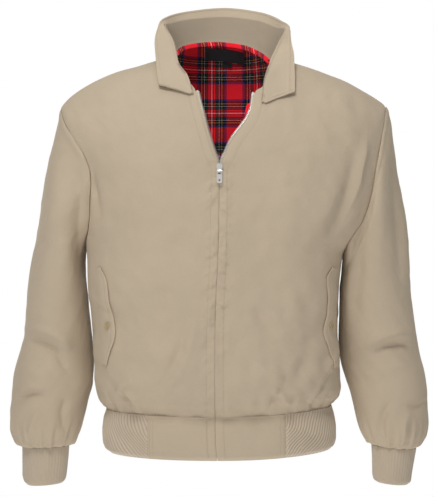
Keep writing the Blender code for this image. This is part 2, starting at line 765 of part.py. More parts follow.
def sleeve(name, side):
    count = 2 * ROWS_ARM
    around = np.arange(count) / count
    loop, normals, across = armhole_loop(side, around)
    closed_at = np.r_[around, 1.0]
    closed_loop = np.concatenate([loop, loop[:1]])

    def loop_at(places):
        places = np.mod(places, 1.0)
        return np.stack([np.interp(places, closed_at, closed_loop[:, k]) for k in range(3)], -1)

    tables = ring_tables(SLEEVE[side])

    def surface(u, v):
        return sleeve_point(side, tables, loop_at, u, v)

    outer, inner = [], []
    fine = np.arange(SLEEVE_GATHERS * 3) / (SLEEVE_GATHERS * 3)
    for along in np.r_[0.0, np.linspace(0.03, 0.87, SLEEVE_ROWS), 0.915, 0.965, 1.0]:
        places = fine if along > 0.88 else around
        v = np.full_like(places, along)
        points, normal = with_normal(surface, places, v, (-9.0, 9.0))
        normal *= np.sign(((points - points.mean(0)) * normal).sum())
        if along == 0:
            above = smoothstep(-0.22, -0.12, loop[:, 2])[:, None]
            normal = normals * above + normal * (1 - above)
            normal /= np.linalg.norm(normal, axis=-1, keepdims=True)
            points = loop + (across + normals) * GAP
        outer.append((list(places), points))
        inner.append((list(places), points - CLOTH * normal))
    return wall(name, "cloth", outer, inner, closed=True)


def cuff(name, side):
    """Rib tube: two points for each rib outside, a plain wall inside."""
    tables = ring_tables(CUFF[side])
    ribbed = np.arange(CUFF_RIBS * 2) / (CUFF_RIBS * 2)
    plain = np.arange(CUFF_RIBS // 2) / (CUFF_RIBS // 2)
    rise = np.where(np.arange(CUFF_RIBS * 2) % 2 == 0, RIB_RISE, 0.0)
    outer, inner = [], []
    start = GAP / (62 * MM)
    for along in (start, 0.4, 0.85, 1.0):
        end = 0.35 if along == 1.0 else 1.0
        for places, lift, rows in ((ribbed, rise * end, outer), (plain, -RIB_KNIT, inner)):
            v = np.full_like(places, along)
            p = ring_point(tables, places, v)
            away = p - ring_point(tables, places + 0.5, v)
            away /= np.linalg.norm(away, axis=-1, keepdims=True)
            rows.append((list(places), p + away * np.reshape(lift, (-1, 1))))
    return wall(name, "knit", outer, inner, closed=True)


# ---------------------------------------------------------------- waistband

def waist_ring(z, count=1600):
    """Body form round at height z, from the middle of the front by the right and the back."""
    turn = np.linspace(0, 2 * np.pi, count)
    sx, cy = np.sin(turn), np.cos(turn)
    x = -np.sign(sx) * np.abs(sx) ** (2 / SQUARENESS)
    x = x * half_width(x, np.full_like(x, z))
    front, back = (depth(face, np.full_like(x, z)) for face in (1, -1))
    y = np.abs(cy) ** (2 / SQUARENESS) * np.where(cy > 0, -front, back)
    level = z - np.where(cy > 0, drop(1, x, np.full_like(x, z)), drop(-1, x, np.full_like(x, z)))
    return np.stack([x, y, level], -1)


def waist_rows():
    return (WAIST_Z * MM - GAP, -0.596, -0.626, HEM_Z * MM)


def waistband_rib():
    ribbed = np.linspace(0, 1, WAIST_RIBS * 2 + 1)
    plain = np.linspace(0, 1, WAIST_RIBS // 2 + 1)
    rise = np.where(np.arange(len(ribbed)) % 2 == 1, RIB_RISE, 0.0)
    outer, inner = [], []
    heights = waist_rows()
    for z in heights:
        ring = waist_ring(z)
        beside = (ring[:, 0] < WAIST_PANEL_RIGHT * MM - GAP) | (ring[:, 1] > 0)
        ring = ring[beside | (ring[:, 0] > WAIST_PANEL_LEFT * MM + GAP)]
        length = np.r_[0, np.cumsum(np.linalg.norm(np.diff(ring, axis=0), axis=1))]
        total = length[-1]
        down = (heights[0] - z) / (heights[0] - heights[-1])
        end = 0.35 if z == heights[-1] else 1.0
        for places, lift, rows in ((ribbed, rise * end, outer), (plain, -RIB_KNIT, inner)):
            lean = RIB_LEAN / total * down
            lean = lean * (np.exp(-((places - 0.93) / 0.10) ** 2)
                           - np.exp(-((places - 0.07) / 0.10) ** 2))
            at = np.clip(places + lean * np.minimum(1, np.minimum(places, 1 - places) / 0.05), 0, 1)
            p = np.stack([np.interp(at * total, length, ring[:, k]) for k in range(3)], -1)
            q = np.stack([np.interp(np.clip(at * total + 1 * MM, 0, total), length, ring[:, k])
                          - np.interp(np.clip(at * total - 1 * MM, 0, total), length, ring[:, k])
                          for k in range(3)], -1)
            away = np.stack([-q[:, 1], q[:, 0], 0 * q[:, 0]], -1)
            away /= np.linalg.norm(away, axis=-1, keepdims=True)
            away *= np.sign((away[:, :2] * p[:, :2]).sum(-1))[:, None]
            rows.append((list(places), p + away * np.reshape(lift, (-1, 1))))
    return wall("waistband_rib", "knit", outer, inner)


def waistband_front(name, side):
    """Woven front part of the waistband, from the zip edge to the rib."""
    end = (WAIST_PANEL_LEFT if side > 0 else WAIST_PANEL_RIGHT) * MM

    def surface(s, t, out):
        z = WAIST_Z * MM - GAP + (HEM_Z - WAIST_Z) * MM * t
        start = centre_front(z) + side * GAP / 2
        return body_skin(1, start + (end - start) * s, z, np.full_like(s, out))

    rows = [(WAIST_Z - z) / (WAIST_Z - HEM_Z) for z in WAIST_PANEL_ROWS]
    return patch(name, "cloth", surface, np.linspace(0, 1, 9), rows, 0.0, CLOTH + WAIST_LAYERS)


# ---------------------------------------------------------------- collar

def halved(points):
    """A row of points with the middle of each step added."""
    made = np.repeat(points, 2, axis=0)[:-1]
    made[1::2] = (points[1:] + points[:-1]) / 2
    return made


def collar():
    """Band round the neck seam: up the stand, over the roll, and out along the leaf."""
    stations = np.asarray(COLLAR, float)
    rows_front = row_places()[ROWS_GATHER + ROWS_SIDE + COLLAR_END_ROW:]
    columns, (left_end, right_end) = back_columns()
    back = columns[(columns >= left_end - 1e-9) & (columns <= right_end + 1e-9)]
    base, normals = [], []

    for face, side, s, t in ((1, -1, 0.0, rows_front[:-1]), (-1, 0, back, 1.0),
                             (1, 1, 0.0, rows_front[-2::-1])):
        s, t = np.broadcast_arrays(np.asarray(s, float), np.asarray(t, float))
        p, n = panel_skin(face, side, s, t)
        base.extend(p)
        normals.extend(n)
    base, normals = halved(np.array(base)), halved(np.array(normals))
    normals /= np.linalg.norm(normals, axis=-1, keepdims=True)
    front = 2 * (len(rows_front) - 1)
    middle = 2 * len(back) - 1
    place = np.r_[np.linspace(-1, -0.5, front + 1)[:-1], np.linspace(-0.5, 0.5, middle),
                  np.linspace(0.5, 1, front + 1)[1:]]
    tangent = np.gradient(base, axis=0)
    across = np.cross(tangent, normals)
    across /= np.linalg.norm(across, axis=-1, keepdims=True)
    across *= np.sign(across[:, 2] + 0.3)[:, None]
    roll = np.stack([smooth(stations[:, 0], stations[:, k] * MM, place) for k in (1, 2, 3)], -1)
    edge = np.stack([smooth(stations[:, 0], stations[:, k] * MM, place) for k in (4, 5, 6)], -1)
    turned = smoothstep(0.42, 0.62, np.abs(place))[:, None]
    outward = edge - roll
    outward[:, 2] *= 0.3
    outward /= np.linalg.norm(outward, axis=-1, keepdims=True)
    lift = np.array((0.0, 0.0, 1.0))
    start = base + (across + normals) * GAP
    up_stand = (roll - start) / np.linalg.norm(roll - start, axis=-1, keepdims=True)
    up_leaf = (edge - roll) / np.linalg.norm(edge - roll, axis=-1, keepdims=True)
    stand = roll - ROLL_RADIUS * (turned * (outward * 0.9 + lift * 0.6) + (1 - turned) * up_stand)
    fall = roll + ROLL_RADIUS * (turned * (outward * 0.9 - lift * 0.6) + (1 - turned) * up_leaf)
    rise = stand - start
    lines = [start, start + rise * 0.45 + outward * 1.0 * MM, stand, roll,
             fall, fall + (edge - fall) * 0.5, edge]
    rows = [start]
    for k, line in enumerate(lines[1:], 1):
        lifted = line.copy()
        chest = np.abs(place) > 0.6
        lift_k = LEAF_LIFT * (0.5 if k == 1 else 1.0) + COLLAR_CLOTH / 2
        limit = body_y(1, line[:, 0], line[:, 2]) - lift_k
        lifted[:, 1] = np.where(chest, np.minimum(line[:, 1], limit), line[:, 1])
        rows.append(lifted)
    grid = np.stack(rows)
    ds = np.gradient(grid, axis=1)
    dt = np.gradient(grid, axis=0)
    n = np.cross(ds, dt)
    n /= np.linalg.norm(n, axis=-1, keepdims=True)
    if (n[1, middle // 2 + front] * (0, 1, 0)).sum() < 0:
        n = -n
    outer, inner = [], []
    for k in range(len(rows)):
        out = grid[k] + n[k] * (COLLAR_CLOTH / 2 if k else 0.0)
        outer.append((list(place), out))
        inner.append((list(place), out - n[k] * COLLAR_CLOTH))
    return wall("collar", "cloth", outer, inner)


# ---------------------------------------------------------------- lining and labels

def lining_rows(low, high):
    """The panel's own rows, every second one up the side, so that both bend alike."""
    rows = row_places()
    below = rows[ROWS_GATHER:ROWS_GATHER + ROWS_SIDE:2]
    above = rows[ROWS_GATHER + ROWS_SIDE:]
    rows = np.r_[below, above]
    return np.r_[rows[(rows > low) & (rows < high)], high]


def under_panel(face, side, s, t, columns, out):
    """Points a distance under the panel's flat facets, between its own columns and rows."""
    rows = row_places()
    i = np.clip(np.searchsorted(columns, s, "right") - 1, 0, len(columns) - 2)
    j = np.clip(np.searchsorted(rows, t, "right") - 1, 0, len(rows) - 2)
    u = ((s - columns[i]) / (columns[i + 1] - columns[i]))[:, None]
    v = ((t - rows[j]) / (rows[j + 1] - rows[j]))[:, None]
    total = np.zeros((len(s), 3))
    for di, wi in ((0, 1 - u), (1, u)):
        for dj, wj in ((0, 1 - v), (1, v)):
            points, normals = panel_skin(face, side, columns[i + di], rows[j + dj], 0.0)
            total += wi * wj * (points + normals * out)
    return total


def lining_back():
    columns, _ = back_columns()

    def surface(s, t, out):
        return under_panel(-1, 0, s, t, columns, out)

    inside = columns[np.abs(columns) < 0.93]
    return patch("lining_back", "tartan", surface, np.r_[-0.93, inside, 0.93],
                 lining_rows(0.02, 0.999), -LINING_DEEP, LINING)


def lining_front(name, side):
    """Front lining; on the wearer's left it rolls out past the zip in the open neck."""
    shows = {-1: 0.0, 1: TAPE_SHOWS + 9.0}[side] * MM
    columns = np.linspace(0, 1, COLUMNS_FRONT + 1)

    def surface(s, t, out):
        points = under_panel(1, side, s, t, columns, out)
        z = points[..., 2]
        roll = smoothstep(-0.150, -0.132, z) * (1 - smoothstep(-0.085, -0.062, z))
        points[..., 0] -= side * shows * roll * (1 - smoothstep(0.0, 0.25, s))
        return points

    return patch(name, "tartan", surface, np.r_[0.02, columns[1:-1], 0.93],
                 lining_rows(0.02, 0.93), -LINING_DEEP, LINING)


def neck_piece(name, s_columns, t_rows, turn):
    """Label or tab on the lining below the nape; turn drops one end."""
    columns, _ = back_columns()

    def surface(s, t, out):
        return under_panel(-1, 0, s, t - turn * s, columns, out)

    return patch(name, "label", surface, s_columns, t_rows,
                 -LINING_DEEP - LINING - LABEL_LAY, LABEL_CLOTH)


# ---------------------------------------------------------------- pockets

def pocket_flap(name, side):
    table = np.asarray(FLAP[side], float) * MM
    at = np.linspace(0, 1, len(table))

    def surface(s, t, out):
        edge, free = (np.stack([np.interp(t, at, table[:, k + j]) for j in (0, 1)])
                      for k in (0, 2))
        x, z = edge + (free - edge) * s
        bow = 1.2 * MM * np.sin(np.pi * s) * (0 if out < FLAP_LIFT + FLAP_CLOTH else 1)
        return body_skin(1, x, z, out + bow)

    return patch(name, "cloth", surface, np.linspace(0, 1, 4), np.linspace(0, 1, 10),
                 FLAP_LIFT + FLAP_CLOTH, FLAP_CLOTH)


def surface_frame(face, x, z, out):
    """Point and normal on the body's cloth, for a hard piece that sits there."""
    ones = np.array([1.0])
    p = body_skin(face, x * ones, z * ones, out * ones)[0]
    q = body_skin(face, x * ones, z * ones, (out + 1 * MM) * ones)[0]
    n = (q - p) / np.linalg.norm(q - p)
    return p, n


def pocket_button(name, side):
    """Turned button on the flap: its profile is spun round the flap's normal."""
    x, z = FLAP_BUTTON[side]
    point, normal = surface_frame(1, x * MM, z * MM, FLAP_LIFT + FLAP_CLOTH + 1.5 * MM)
    across = np.cross(normal, (0, 0, 1.0))
    across /= np.linalg.norm(across)
    up = np.cross(across, normal)
    steps = 14
    verts, faces, rings = [], [], []
    for radius, height in BUTTON_PROFILE:
        first = len(verts)
        count = 1 if radius == 0 else steps
        for k in range(count):
            turn = 2 * math.pi * k / steps
            verts.append(point + (across * math.cos(turn) + up * math.sin(turn)) * radius * MM
                         + normal * height * MM)
        rings.append([first + k % count for k in range(steps)])
    for low, high in zip(rings, rings[1:]):
        for k in range(steps):
            quad = (low[k], low[(k + 1) % steps], high[(k + 1) % steps], high[k])
            corners = list(dict.fromkeys(quad))
            faces.append(tuple(corners))
    return finish_object(name, "button", verts, faces, 40)


# ---------------------------------------------------------------- zip

def zip_tape(name, side):
    """Tape behind the zip edge; above the slider it shows past the cloth."""
    rows = row_places()
    rows = np.r_[rows[rows < OPEN_TOP_AT - 0.001], OPEN_TOP_AT - 0.004]
    ends = (TAPE_SHOWS * MM, -TAPE_HIDDEN * MM)
    outer, inner = [], []
    for z in WAIST_PANEL_ROWS[::-1]:
        z = z * MM + (4 * MM if z == HEM_Z else 0)
        x = centre_front(np.asarray([z, z])) + side * np.array([GAP, TAPE_HIDDEN * MM])
        for out, group in ((-CLOTH - WAIST_LAYERS - LAY, outer),
                           (-CLOTH - WAIST_LAYERS - LAY - TAPE, inner)):
            group.append(([0.0, 1.0], body_skin(1, x, np.full_like(x, z), out * np.ones(2))))
    for t in rows[1:]:
        s = np.array([0.0, 1 / COLUMNS_FRONT])
        points, normals = panel_skin(1, side, s, np.full_like(s, t))
        across = (points[0] - points[1]) / np.linalg.norm(points[0] - points[1])
        opened = float(smoothstep(-0.178, -0.162, points[0, 2]))
        reach = np.array([ends[0] * opened - GAP / 2 * (1 - opened), ends[1]])
        line = points[0] + across * reach[:, None]
        for out, group in ((-CLOTH - LAY, outer), (-CLOTH - LAY - TAPE, inner)):
            group.append(([0.0, 1.0], line + normals[0] * out))
    return wall(name, "tape", outer, inner)


def zip_frame():
    """Place and directions of the slider: on the cloth at the zip's closed end."""
    z = (SLIDER_TOP_Z - SLIDER_LENGTH / 2) * MM
    x = float(centre_front(np.asarray(z)))
    ones = np.array([1.0])
    low = body_skin(1, x * ones, (z - 0.03) * ones, 0 * ones)[0]
    high = body_skin(1, x * ones, (z + 0.006) * ones, 0 * ones)[0]
    up = (high - low) * (0, 1, 1)
    up /= np.linalg.norm(up)
    out = np.array((0.0, -up[2], up[1]))
    middle = body_skin(1, x * ones, z * ones, SLIDER_LIFT * MM * ones)[0]
    return middle, np.array((1.0, 0.0, 0.0)), up, out


def prism(verts, faces, outline, place, low, high):
    """Extrudes a closed outline of (u, v) between two levels."""
    first = len(verts)
    n = len(outline)
    for level in (low, high):
        verts.extend(place(u, v, level) for u, v in outline)
    faces.append(tuple(range(first, first + n)))
    faces.append(tuple(range(first + n, first + 2 * n)))
    faces.extend((first + k, first + (k + 1) % n, first + n + (k + 1) % n, first + n + k)
                 for k in range(n))


def zip_slider():
    """Slider body with an arched bridge over its plate, under which the pull's bar turns."""
    middle, across, up, out = zip_frame()

    def place(u, v, w):
        return middle + (across * u + up * v + out * w) * MM

    wide, narrow = SLIDER_HALF_WIDTH
    half = SLIDER_LENGTH / 2
    outline = [(-narrow, -half), (narrow, -half), (narrow + 0.5, -half + 3), (wide, 1.0),
               (wide, half - 2.5), (wide - 1.6, half), (-wide + 1.6, half), (-wide, half - 2.5),
               (-wide, 1.0), (-narrow - 0.5, -half + 3)]
    verts, faces = [], []
    prism(verts, faces, outline, place, 0, SLIDER_THICK)
    body = finish_object("zip_slider", "metal", verts, faces, 30)
    verts, faces = [], []
    steps = 10
    turns = [math.pi * k / steps for k in range(steps + 1)]
    sunk = SLIDER_THICK - 0.4
    bar_level = SLIDER_THICK + BRIDGE_INNER
    arc = [(math.cos(a) * BRIDGE_OUTER, bar_level + math.sin(a) * BRIDGE_OUTER) for a in turns]
    hole = [(math.cos(a) * BRIDGE_INNER, bar_level + math.sin(a) * BRIDGE_INNER) for a in turns]
    profile = [(BRIDGE_OUTER, sunk)] + arc + [(-BRIDGE_OUTER, sunk), (-BRIDGE_INNER, sunk)]
    profile += hole[::-1] + [(BRIDGE_INNER, sunk)]

    def side_place(v, w, u):
        return place(u, v + BAR_AT, w)

    prism(verts, faces, profile, side_place, -BRIDGE_HALF_WIDTH, BRIDGE_HALF_WIDTH)
    bridge = finish_object("bridge_guide", "metal", verts, faces, 30)
    join = body.modifiers.new("bridge", "BOOLEAN")
    join.operation = "UNION"
    join.object = bridge
    bridge.hide_render = True
    bridge.display_type = "WIRE"
    return body


BAR_AT = -4.5               # the bridge's middle below the slider's middle (mm)


def zip_pull(parent):
    """Pull tab: a plate with an eye whose round bar turns under the slider's bridge."""
    middle, across, up, out = zip_frame()
    axis = middle + (up * BAR_AT + out * (SLIDER_THICK + BRIDGE_INNER)) * MM

    def place(u, v, w):
        return (across * u + up * v + out * w) * MM

    half, length = PULL_PLATE
    eye_half, eye_long = PULL_EYE
    verts, faces = [], []
    outline = [(-half + 1.4, -length), (half - 1.4, -length), (half, -length + 1.8),
               (half, -eye_long - 1.0), (half, 0.1), (-half, 0.1),
               (-half, -eye_long - 1.0), (-half, -length + 1.8)]
    prism(verts, faces, outline, place, -PULL_THICK / 2, PULL_THICK / 2)
    plate = finish_object("zip_pull", "metal", verts, faces, 30)

    def cutter(name, shape, low, high):
        cut_verts, cut_faces = [], []
        prism(cut_verts, cut_faces, shape, place, low, high)
        made = finish_object(name, "metal", cut_verts, cut_faces, 30)
        made.hide_render = True
        made.display_type = "WIRE"
        return made

    def boolean(kind, other):
        step = plate.modifiers.new(kind, "BOOLEAN")
        step.operation = kind
        step.object = other

    eye = [(-eye_half, -eye_long), (eye_half, -eye_long), (eye_half, 2), (-eye_half, 2)]
    boolean("DIFFERENCE", cutter("pull_eye", eye, -3, 3))
    distance, radius = PULL_HOLE
    ring = [(radius * math.cos(2 * math.pi * k / 12), -distance + radius * math.sin(2 * math.pi * k / 12))
            for k in range(12)]
    boolean("DIFFERENCE", cutter("pull_hole", ring, -3, 3))

    bar_verts, bar_faces = [], []
    steps = 10
    circle = [(BAR_RADIUS * math.cos(2 * math.pi * (k + 0.5) / steps),
               BAR_RADIUS * math.sin(2 * math.pi * (k + 0.5) / steps)) for k in range(steps)]

    def bar_place(v, w, u):
        return place(u, v, w)

    prism(bar_verts, bar_faces, circle, bar_place, -half, half)
    bar = finish_object("pull_bar", "metal", bar_verts, bar_faces, 30)
    bar.hide_render = True
    bar.display_type = "WIRE"
    boolean("UNION", bar)
    for made in (plate, bar, bpy.data.objects["pull_eye"], bpy.data.objects["pull_hole"]):
        made.parent = parent
    parent.location = axis
    return plate


# ---------------------------------------------------------------- the jacket

def build():
    for old in list(bpy.data.objects):
        bpy.data.objects.remove(old)
    names = {-1: "right", 1: "left"}
    columns, _ = back_columns()
    panel("back", -1, 0, columns, 0.0)
    for side, word in names.items():
        panel(f"front_{word}", 1, side, np.linspace(0, 1, COLUMNS_FRONT + 1), 0.42)
        sleeve(f"sleeve_{word}", side)
        cuff(f"cuff_{word}", side)
        waistband_front(f"waistband_front_{word}", side)
        lining_front(f"lining_front_{word}", side)
        pocket_flap(f"pocket_flap_{word}", side)
        pocket_button(f"pocket_button_{word}", side)
        zip_tape(f"zip_tape_{word}", side)
    waistband_rib()
    collar()
    lining_back()
    neck_piece("neck_label", LABEL_COLUMNS, LABEL_ROWS, LABEL_TURN)
    neck_piece("size_tab", TAB_COLUMNS, TAB_ROWS, LABEL_TURN)
    zip_slider()
    hinge = bpy.data.objects.new("zip_pull_hinge", None)
    bpy.context.scene.collection.objects.link(hinge)
    zip_pull(hinge)


build()
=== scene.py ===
"""Harrington jacket: poplin, rib knit, tartan, zip and stitching over the jacket's solids.

The file is laid out as an add-on and run as a script. Each piece of cloth is a thin shell on
the form of its solid, worked out on a grid: the form, plus the height of its folds along the
form's normal. Frame: +Z up, the front faces -Y, the wearer's left is +X.
"""

import math

import bpy
import numpy as np
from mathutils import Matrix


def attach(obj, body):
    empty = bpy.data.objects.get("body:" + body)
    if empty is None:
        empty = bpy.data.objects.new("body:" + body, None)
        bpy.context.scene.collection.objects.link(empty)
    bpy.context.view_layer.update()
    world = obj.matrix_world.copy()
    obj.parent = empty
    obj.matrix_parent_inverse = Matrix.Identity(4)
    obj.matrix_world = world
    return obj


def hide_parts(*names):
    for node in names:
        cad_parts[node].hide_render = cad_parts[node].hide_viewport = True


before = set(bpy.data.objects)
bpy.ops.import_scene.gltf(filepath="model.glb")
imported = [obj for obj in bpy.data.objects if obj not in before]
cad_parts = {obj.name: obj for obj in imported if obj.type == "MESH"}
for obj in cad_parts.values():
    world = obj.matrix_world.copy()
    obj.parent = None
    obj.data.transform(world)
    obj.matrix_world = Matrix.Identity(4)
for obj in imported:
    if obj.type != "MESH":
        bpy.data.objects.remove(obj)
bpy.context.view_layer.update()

bl_info = {
    "name": "Harrington jacket",
    "version": (1, 0, 0),
    "blender": (4, 5, 0),
    "location": "3D View > Sidebar > Jacket",
    "description": "Builds the cloth, knit, lining, zip and stitching of a harrington jacket",
    "category": "Object",
}

SIDES = {"right": -1, "left": 1}
MM = 0.001
CLOTH = 1.6 * MM            # lined poplin, as thick as its solid
RIB_KNIT = 2.0 * MM
RIB_RISE = 1.4 * MM
RIB_PITCH = 5.6 * MM        # one rib of the knit, as its UV counts it
KNIT_LEAN = 46 * MM         # how far the knit's ribs lean in towards the hem
COLLAR_CLOTH = 2.2 * MM
LINING = 0.8 * MM
TAPE = 1.0 * MM
GAP = 0.35 * MM
LAY = 0.5 * MM
LINING_DEEP = 4.0 * MM
TOOTH_PITCH = 2.5 * MM
# A tooth's sections: place along it, half its width and half its thickness (mm)
TOOTH = ((0.0, 0.55, 1.3), (2.3, 0.55, 1.3), (3.4, 0.4, 0.7))
PLACKET = 13.5 * MM         # from the zip edge to the row of stitches beside it
INSIDE = (0, 0, -0.25)      # a point within the body, that the cloth faces away from
SEAM_STEP = 0.0015          # share of a panel that a normal on its seam is taken over

# Body form: height, half width on the wearer's right and left, depth in front and behind
BODY = (
    # z, right, left, front, back (mm)
    (-645, 176, 184, 108, 100),
    (-638, 177, 185, 109, 101),
    (-632, 184, 190, 115, 106),
    (-620, 188, 193, 119, 109),
    (-604, 189, 193, 120, 110),
    (-584, 187, 190, 119, 109),
    (-568, 183, 186, 116, 106),
    (-560, 186, 189, 121, 110),
    (-549, 193, 197, 131, 117),
    (-535, 198, 201, 137, 120),
    (-515, 202, 201, 139, 119),
    (-480, 205, 198, 138, 116),
    (-442, 207, 197, 136, 113),
    (-376, 212, 199, 135, 111),
    (-317, 214, 206, 134, 112),
    (-290, 215, 226, 133, 114),
    (-253, 217, 252, 131, 116),
    (-214, 223, 265, 129, 117),
    (-177, 233, 273, 126, 118),
    (-137, 256, 281, 120, 118),
    (-90, 276, 290, 110, 117),
    (-50, 290, 298, 102, 117),
    (0, 300, 304, 97, 119),
    (60, 300, 304, 95, 122),
)
SQUARENESS = 2.5            # superellipse power of the body's sections
SHOULDER_ARCH = 125 * MM    # height over which the form closes to the shoulder line
ARCH_POWER = 0.58
WAIST_Z = -568              # height of the waistband's seam in BODY
HEM_Z = -638
SEAM_DROP = (6, 2, -3, -4)  # waistband and hem below BODY's height: front, right, back, left (mm)
DROP_FADES = (-548, -380)   # the drop is whole below the first height, gone above the second

# Shoulder line: distance from the middle, height (mm)
SHOULDER_RIGHT = (
    (0, 29.4), (12, 28.6), (30, 23), (60, 15), (78, 9), (109, 0), (135, -8), (162, -15), (188, -25),
    (214, -38), (241, -56), (254, -69), (259, -76), (275, -106), (300, -170),
)
SHOULDER_LEFT = (
    (0, 29.4), (12, 28.8), (70, 13), (96, 5), (129, -3), (155, -11), (182, -21), (208, -31),
    (234, -45), (261, -61), (272, -69), (276, -74), (292, -106), (320, -170),
)
NECK_POINT = {-1: 78, 1: 96}
NECK_MIDDLE = 9
# Top of the form behind the neck, between the neck points: (x, height) in mm
NAPE = (
    (-78, 9), (-70, 27.6), (-60, 43.2), (-45, 56.4), (-30, 65.2), (-12, 71.6), (5, 73.7),
    (22, 71.2), (40, 64.4), (54, 55.1), (68, 41.8), (80, 26.3), (90, 10), (96, 5),
)
NECK_BACK_DEPTH = 78        # neck seam behind the shoulder line, at the nape
UNDERARM = {-1: -290, 1: -317}

# Armhole seams: distance from the middle, height (mm), from the underarm to the tip
ARMHOLE_FRONT = {
    -1: ((215, -290), (211, -278), (208, -255), (206, -222), (205, -190), (212, -165),
         (231, -133), (250, -102), (259, -76)),
    1: ((206, -317), (208, -307), (216, -290), (234, -262), (247, -222), (255, -178),
        (263, -138), (270, -106), (276, -74)),
}
ARMHOLE_BACK = {
    -1: ((215, -290), (212, -278), (211, -255), (214, -222), (221, -190), (231, -158),
         (241, -126), (252, -96), (259, -76)),
    1: ((206, -317), (208, -307), (216, -290), (232, -262), (245, -220), (254, -178),
        (262, -138), (270, -104), (276, -74)),
}

# Centre front: where the two zip edges meet, height and side (mm)
ZIP_TOP_Z = -175
CENTRE_FRONT = (
    (-650, 0), (-607, -4), (-510, -5), (-415, -4.5), (-379, -3), (-318, 0), (-279, 1),
    (-175, 2.3), (-100, 2.3),
)
# Cloth edges of the open neck, above the zip's slider (mm)
OPEN_EDGE = {
    -1: ((1.9, -175), (-7, -160), (-15, -135), (-21, -114), (-25, -98), (-30, -82), (-34, -64),
         (-37, -53)),
    1: ((2.7, -175), (13, -160), (19, -146), (27, -132), (39, -116), (50, -99), (56, -82),
        (58, -68), (60, -56)),
}
# Neck seam in front, from the open edge's top to the neck point (mm)
NECK_FRONT = {
    -1: ((-37, -53), (-42, -47), (-62, -28), (-73, -10), (-78, 9)),
    1: ((60, -56), (71, -50), (84, -31), (93, -12), (96, 5)),
}

# Sleeves: outer and inner edge seen from the front, half depth and middle in Y (mm)
SLEEVE = {
    -1: (
        # outer x, z, inner x, z, half depth, middle y
        (-263, -84, -218, -294, 66, 0),
        (-271, -128, -219, -310, 70, 4),
        (-280, -170, -219, -330, 73, 8),
        (-290, -214, -219, -353, 73, 12),
        (-300, -270, -217, -380, 71, 16),
        (-311, -330, -214, -413, 69, 20),
        (-318, -387, -210, -448, 68, 24),
        (-321, -440, -208, -480, 67, 25),
        (-330, -482, -207, -503, 66, 24),
        (-338, -515, -207, -527, 64, 20),
        (-342, -552, -213, -552, 62, 14),
        (-344, -582, -220, -579, 60, 8),
        (-342, -604, -226, -601, 57, 3),
        (-335, -621, -234, -619, 50, -2),
        (-323, -633, -244, -631, 37, -5),
    ),
    1: (
        (276, -73, 207, -317, 68, 0),
        (286, -100, 207, -330, 71, 4),
        (291, -133, 206, -341, 73, 8),
        (297, -176, 205, -356, 74, 12),
        (304, -222, 203, -374, 73, 15),
        (311, -276, 202, -396, 71, 18),
        (316, -334, 201, -421, 69, 22),
        (322, -393, 200, -448, 68, 25),
        (329, -447, 200, -475, 67, 25),
        (336, -488, 204, -497, 65, 24),
        (343, -518, 213, -526, 63, 20),
        (348, -556, 222, -556, 61, 14),
        (348, -592, 229, -588, 58, 8),
        (344, -614, 236, -609, 53, 3),
        (335, -627, 244, -622, 46, -1),
        (325, -636, 253, -630, 37, -5),
    ),
}
CUFF = {
    -1: (
        (-322, -633.1, -245, -631.1, 35, -5),
        (-321, -655, -247, -655, 34, -8),
        (-321, -677, -249, -676, 33, -10),
        (-318, -689, -251, -686, 32, -12),
        (-312, -695, -255, -691, 29, -12),
    ),
    1: (
        (326, -636.1, 253, -630.1, 35, -5),
        (322, -656, 254, -654, 34, -8),
        (318, -677, 254, -676, 33, -10),
        (316, -689, 256, -686, 32, -12),
        (311, -694, 261, -690, 29, -12),
    ),
}
CUFF_LENGTH = 62 * MM
SLEEVE_LENGTH = 600 * MM
ARM_RADIUS = 70 * MM
SLEEVE_SETTLES = 0.16       # share of the sleeve over which it leaves the armhole's shape
BESIDE_BODY = 1.5 * MM      # room between sleeve and side
CHEST_FREE = 60             # above the chest the sleeve stands clear of the sides by itself (mm)

# Collar: place along the neck seam (-1 right end, 0 nape, 1 left end), roll line, edge (mm)
COLLAR = (
    # place, roll x, y, z, edge x, y, z
    (-1.000, -42, -98, -60, -95, -84, -46),
    (-0.875, -50, -84, -32, -98, -67, -28),
    (-0.750, -65, -62, -8, -101, -45, -2),
    (-0.625, -74, -30, 31, -104, -18, 31),
    (-0.500, -88, -2, 61, -97, 0, 63),
    (-0.350, -78, 40, 70, -83, 43, 82),
    (-0.200, -46, 71, 81, -50, 76, 95),
    (0.000, 10, 87, 87, 11, 93, 103),
    (0.200, 69, 71, 78, 73, 76, 93),
    (0.350, 100, 40, 62, 105, 43, 75),
    (0.500, 110, -2, 55, 118, 0, 56),
    (0.625, 98, -22, 24, 121, -14, 30),
    (0.750, 86, -44, -3, 124, -34, 7),
    (0.875, 76, -72, -36, 124, -60, -22),
    (1.000, 72, -101, -75, 123, -88, -58),
)
COLLAR_LINES = (0.0, 0.24, 0.44, 0.50, 0.56, 0.78, 1.0)  # rows of seam, stand, roll, leaf, edge
NECK_RUN = 300 * MM         # from the nape round the neck seam to an end
ROLL_RADIUS = 2.6 * MM
LEAF_LIFT = 3.0 * MM        # room between the turned-out collar and the chest

# Ribs of the knit
WAIST_RIBS = 138
CUFF_RIBS = 44
WAIST_END = {-1: -111.5, 1: 107}  # where the woven waistband ends and the rib begins (mm)
WAIST_LAYERS = 0.6 * MM     # what the doubled waistband is thicker than the body

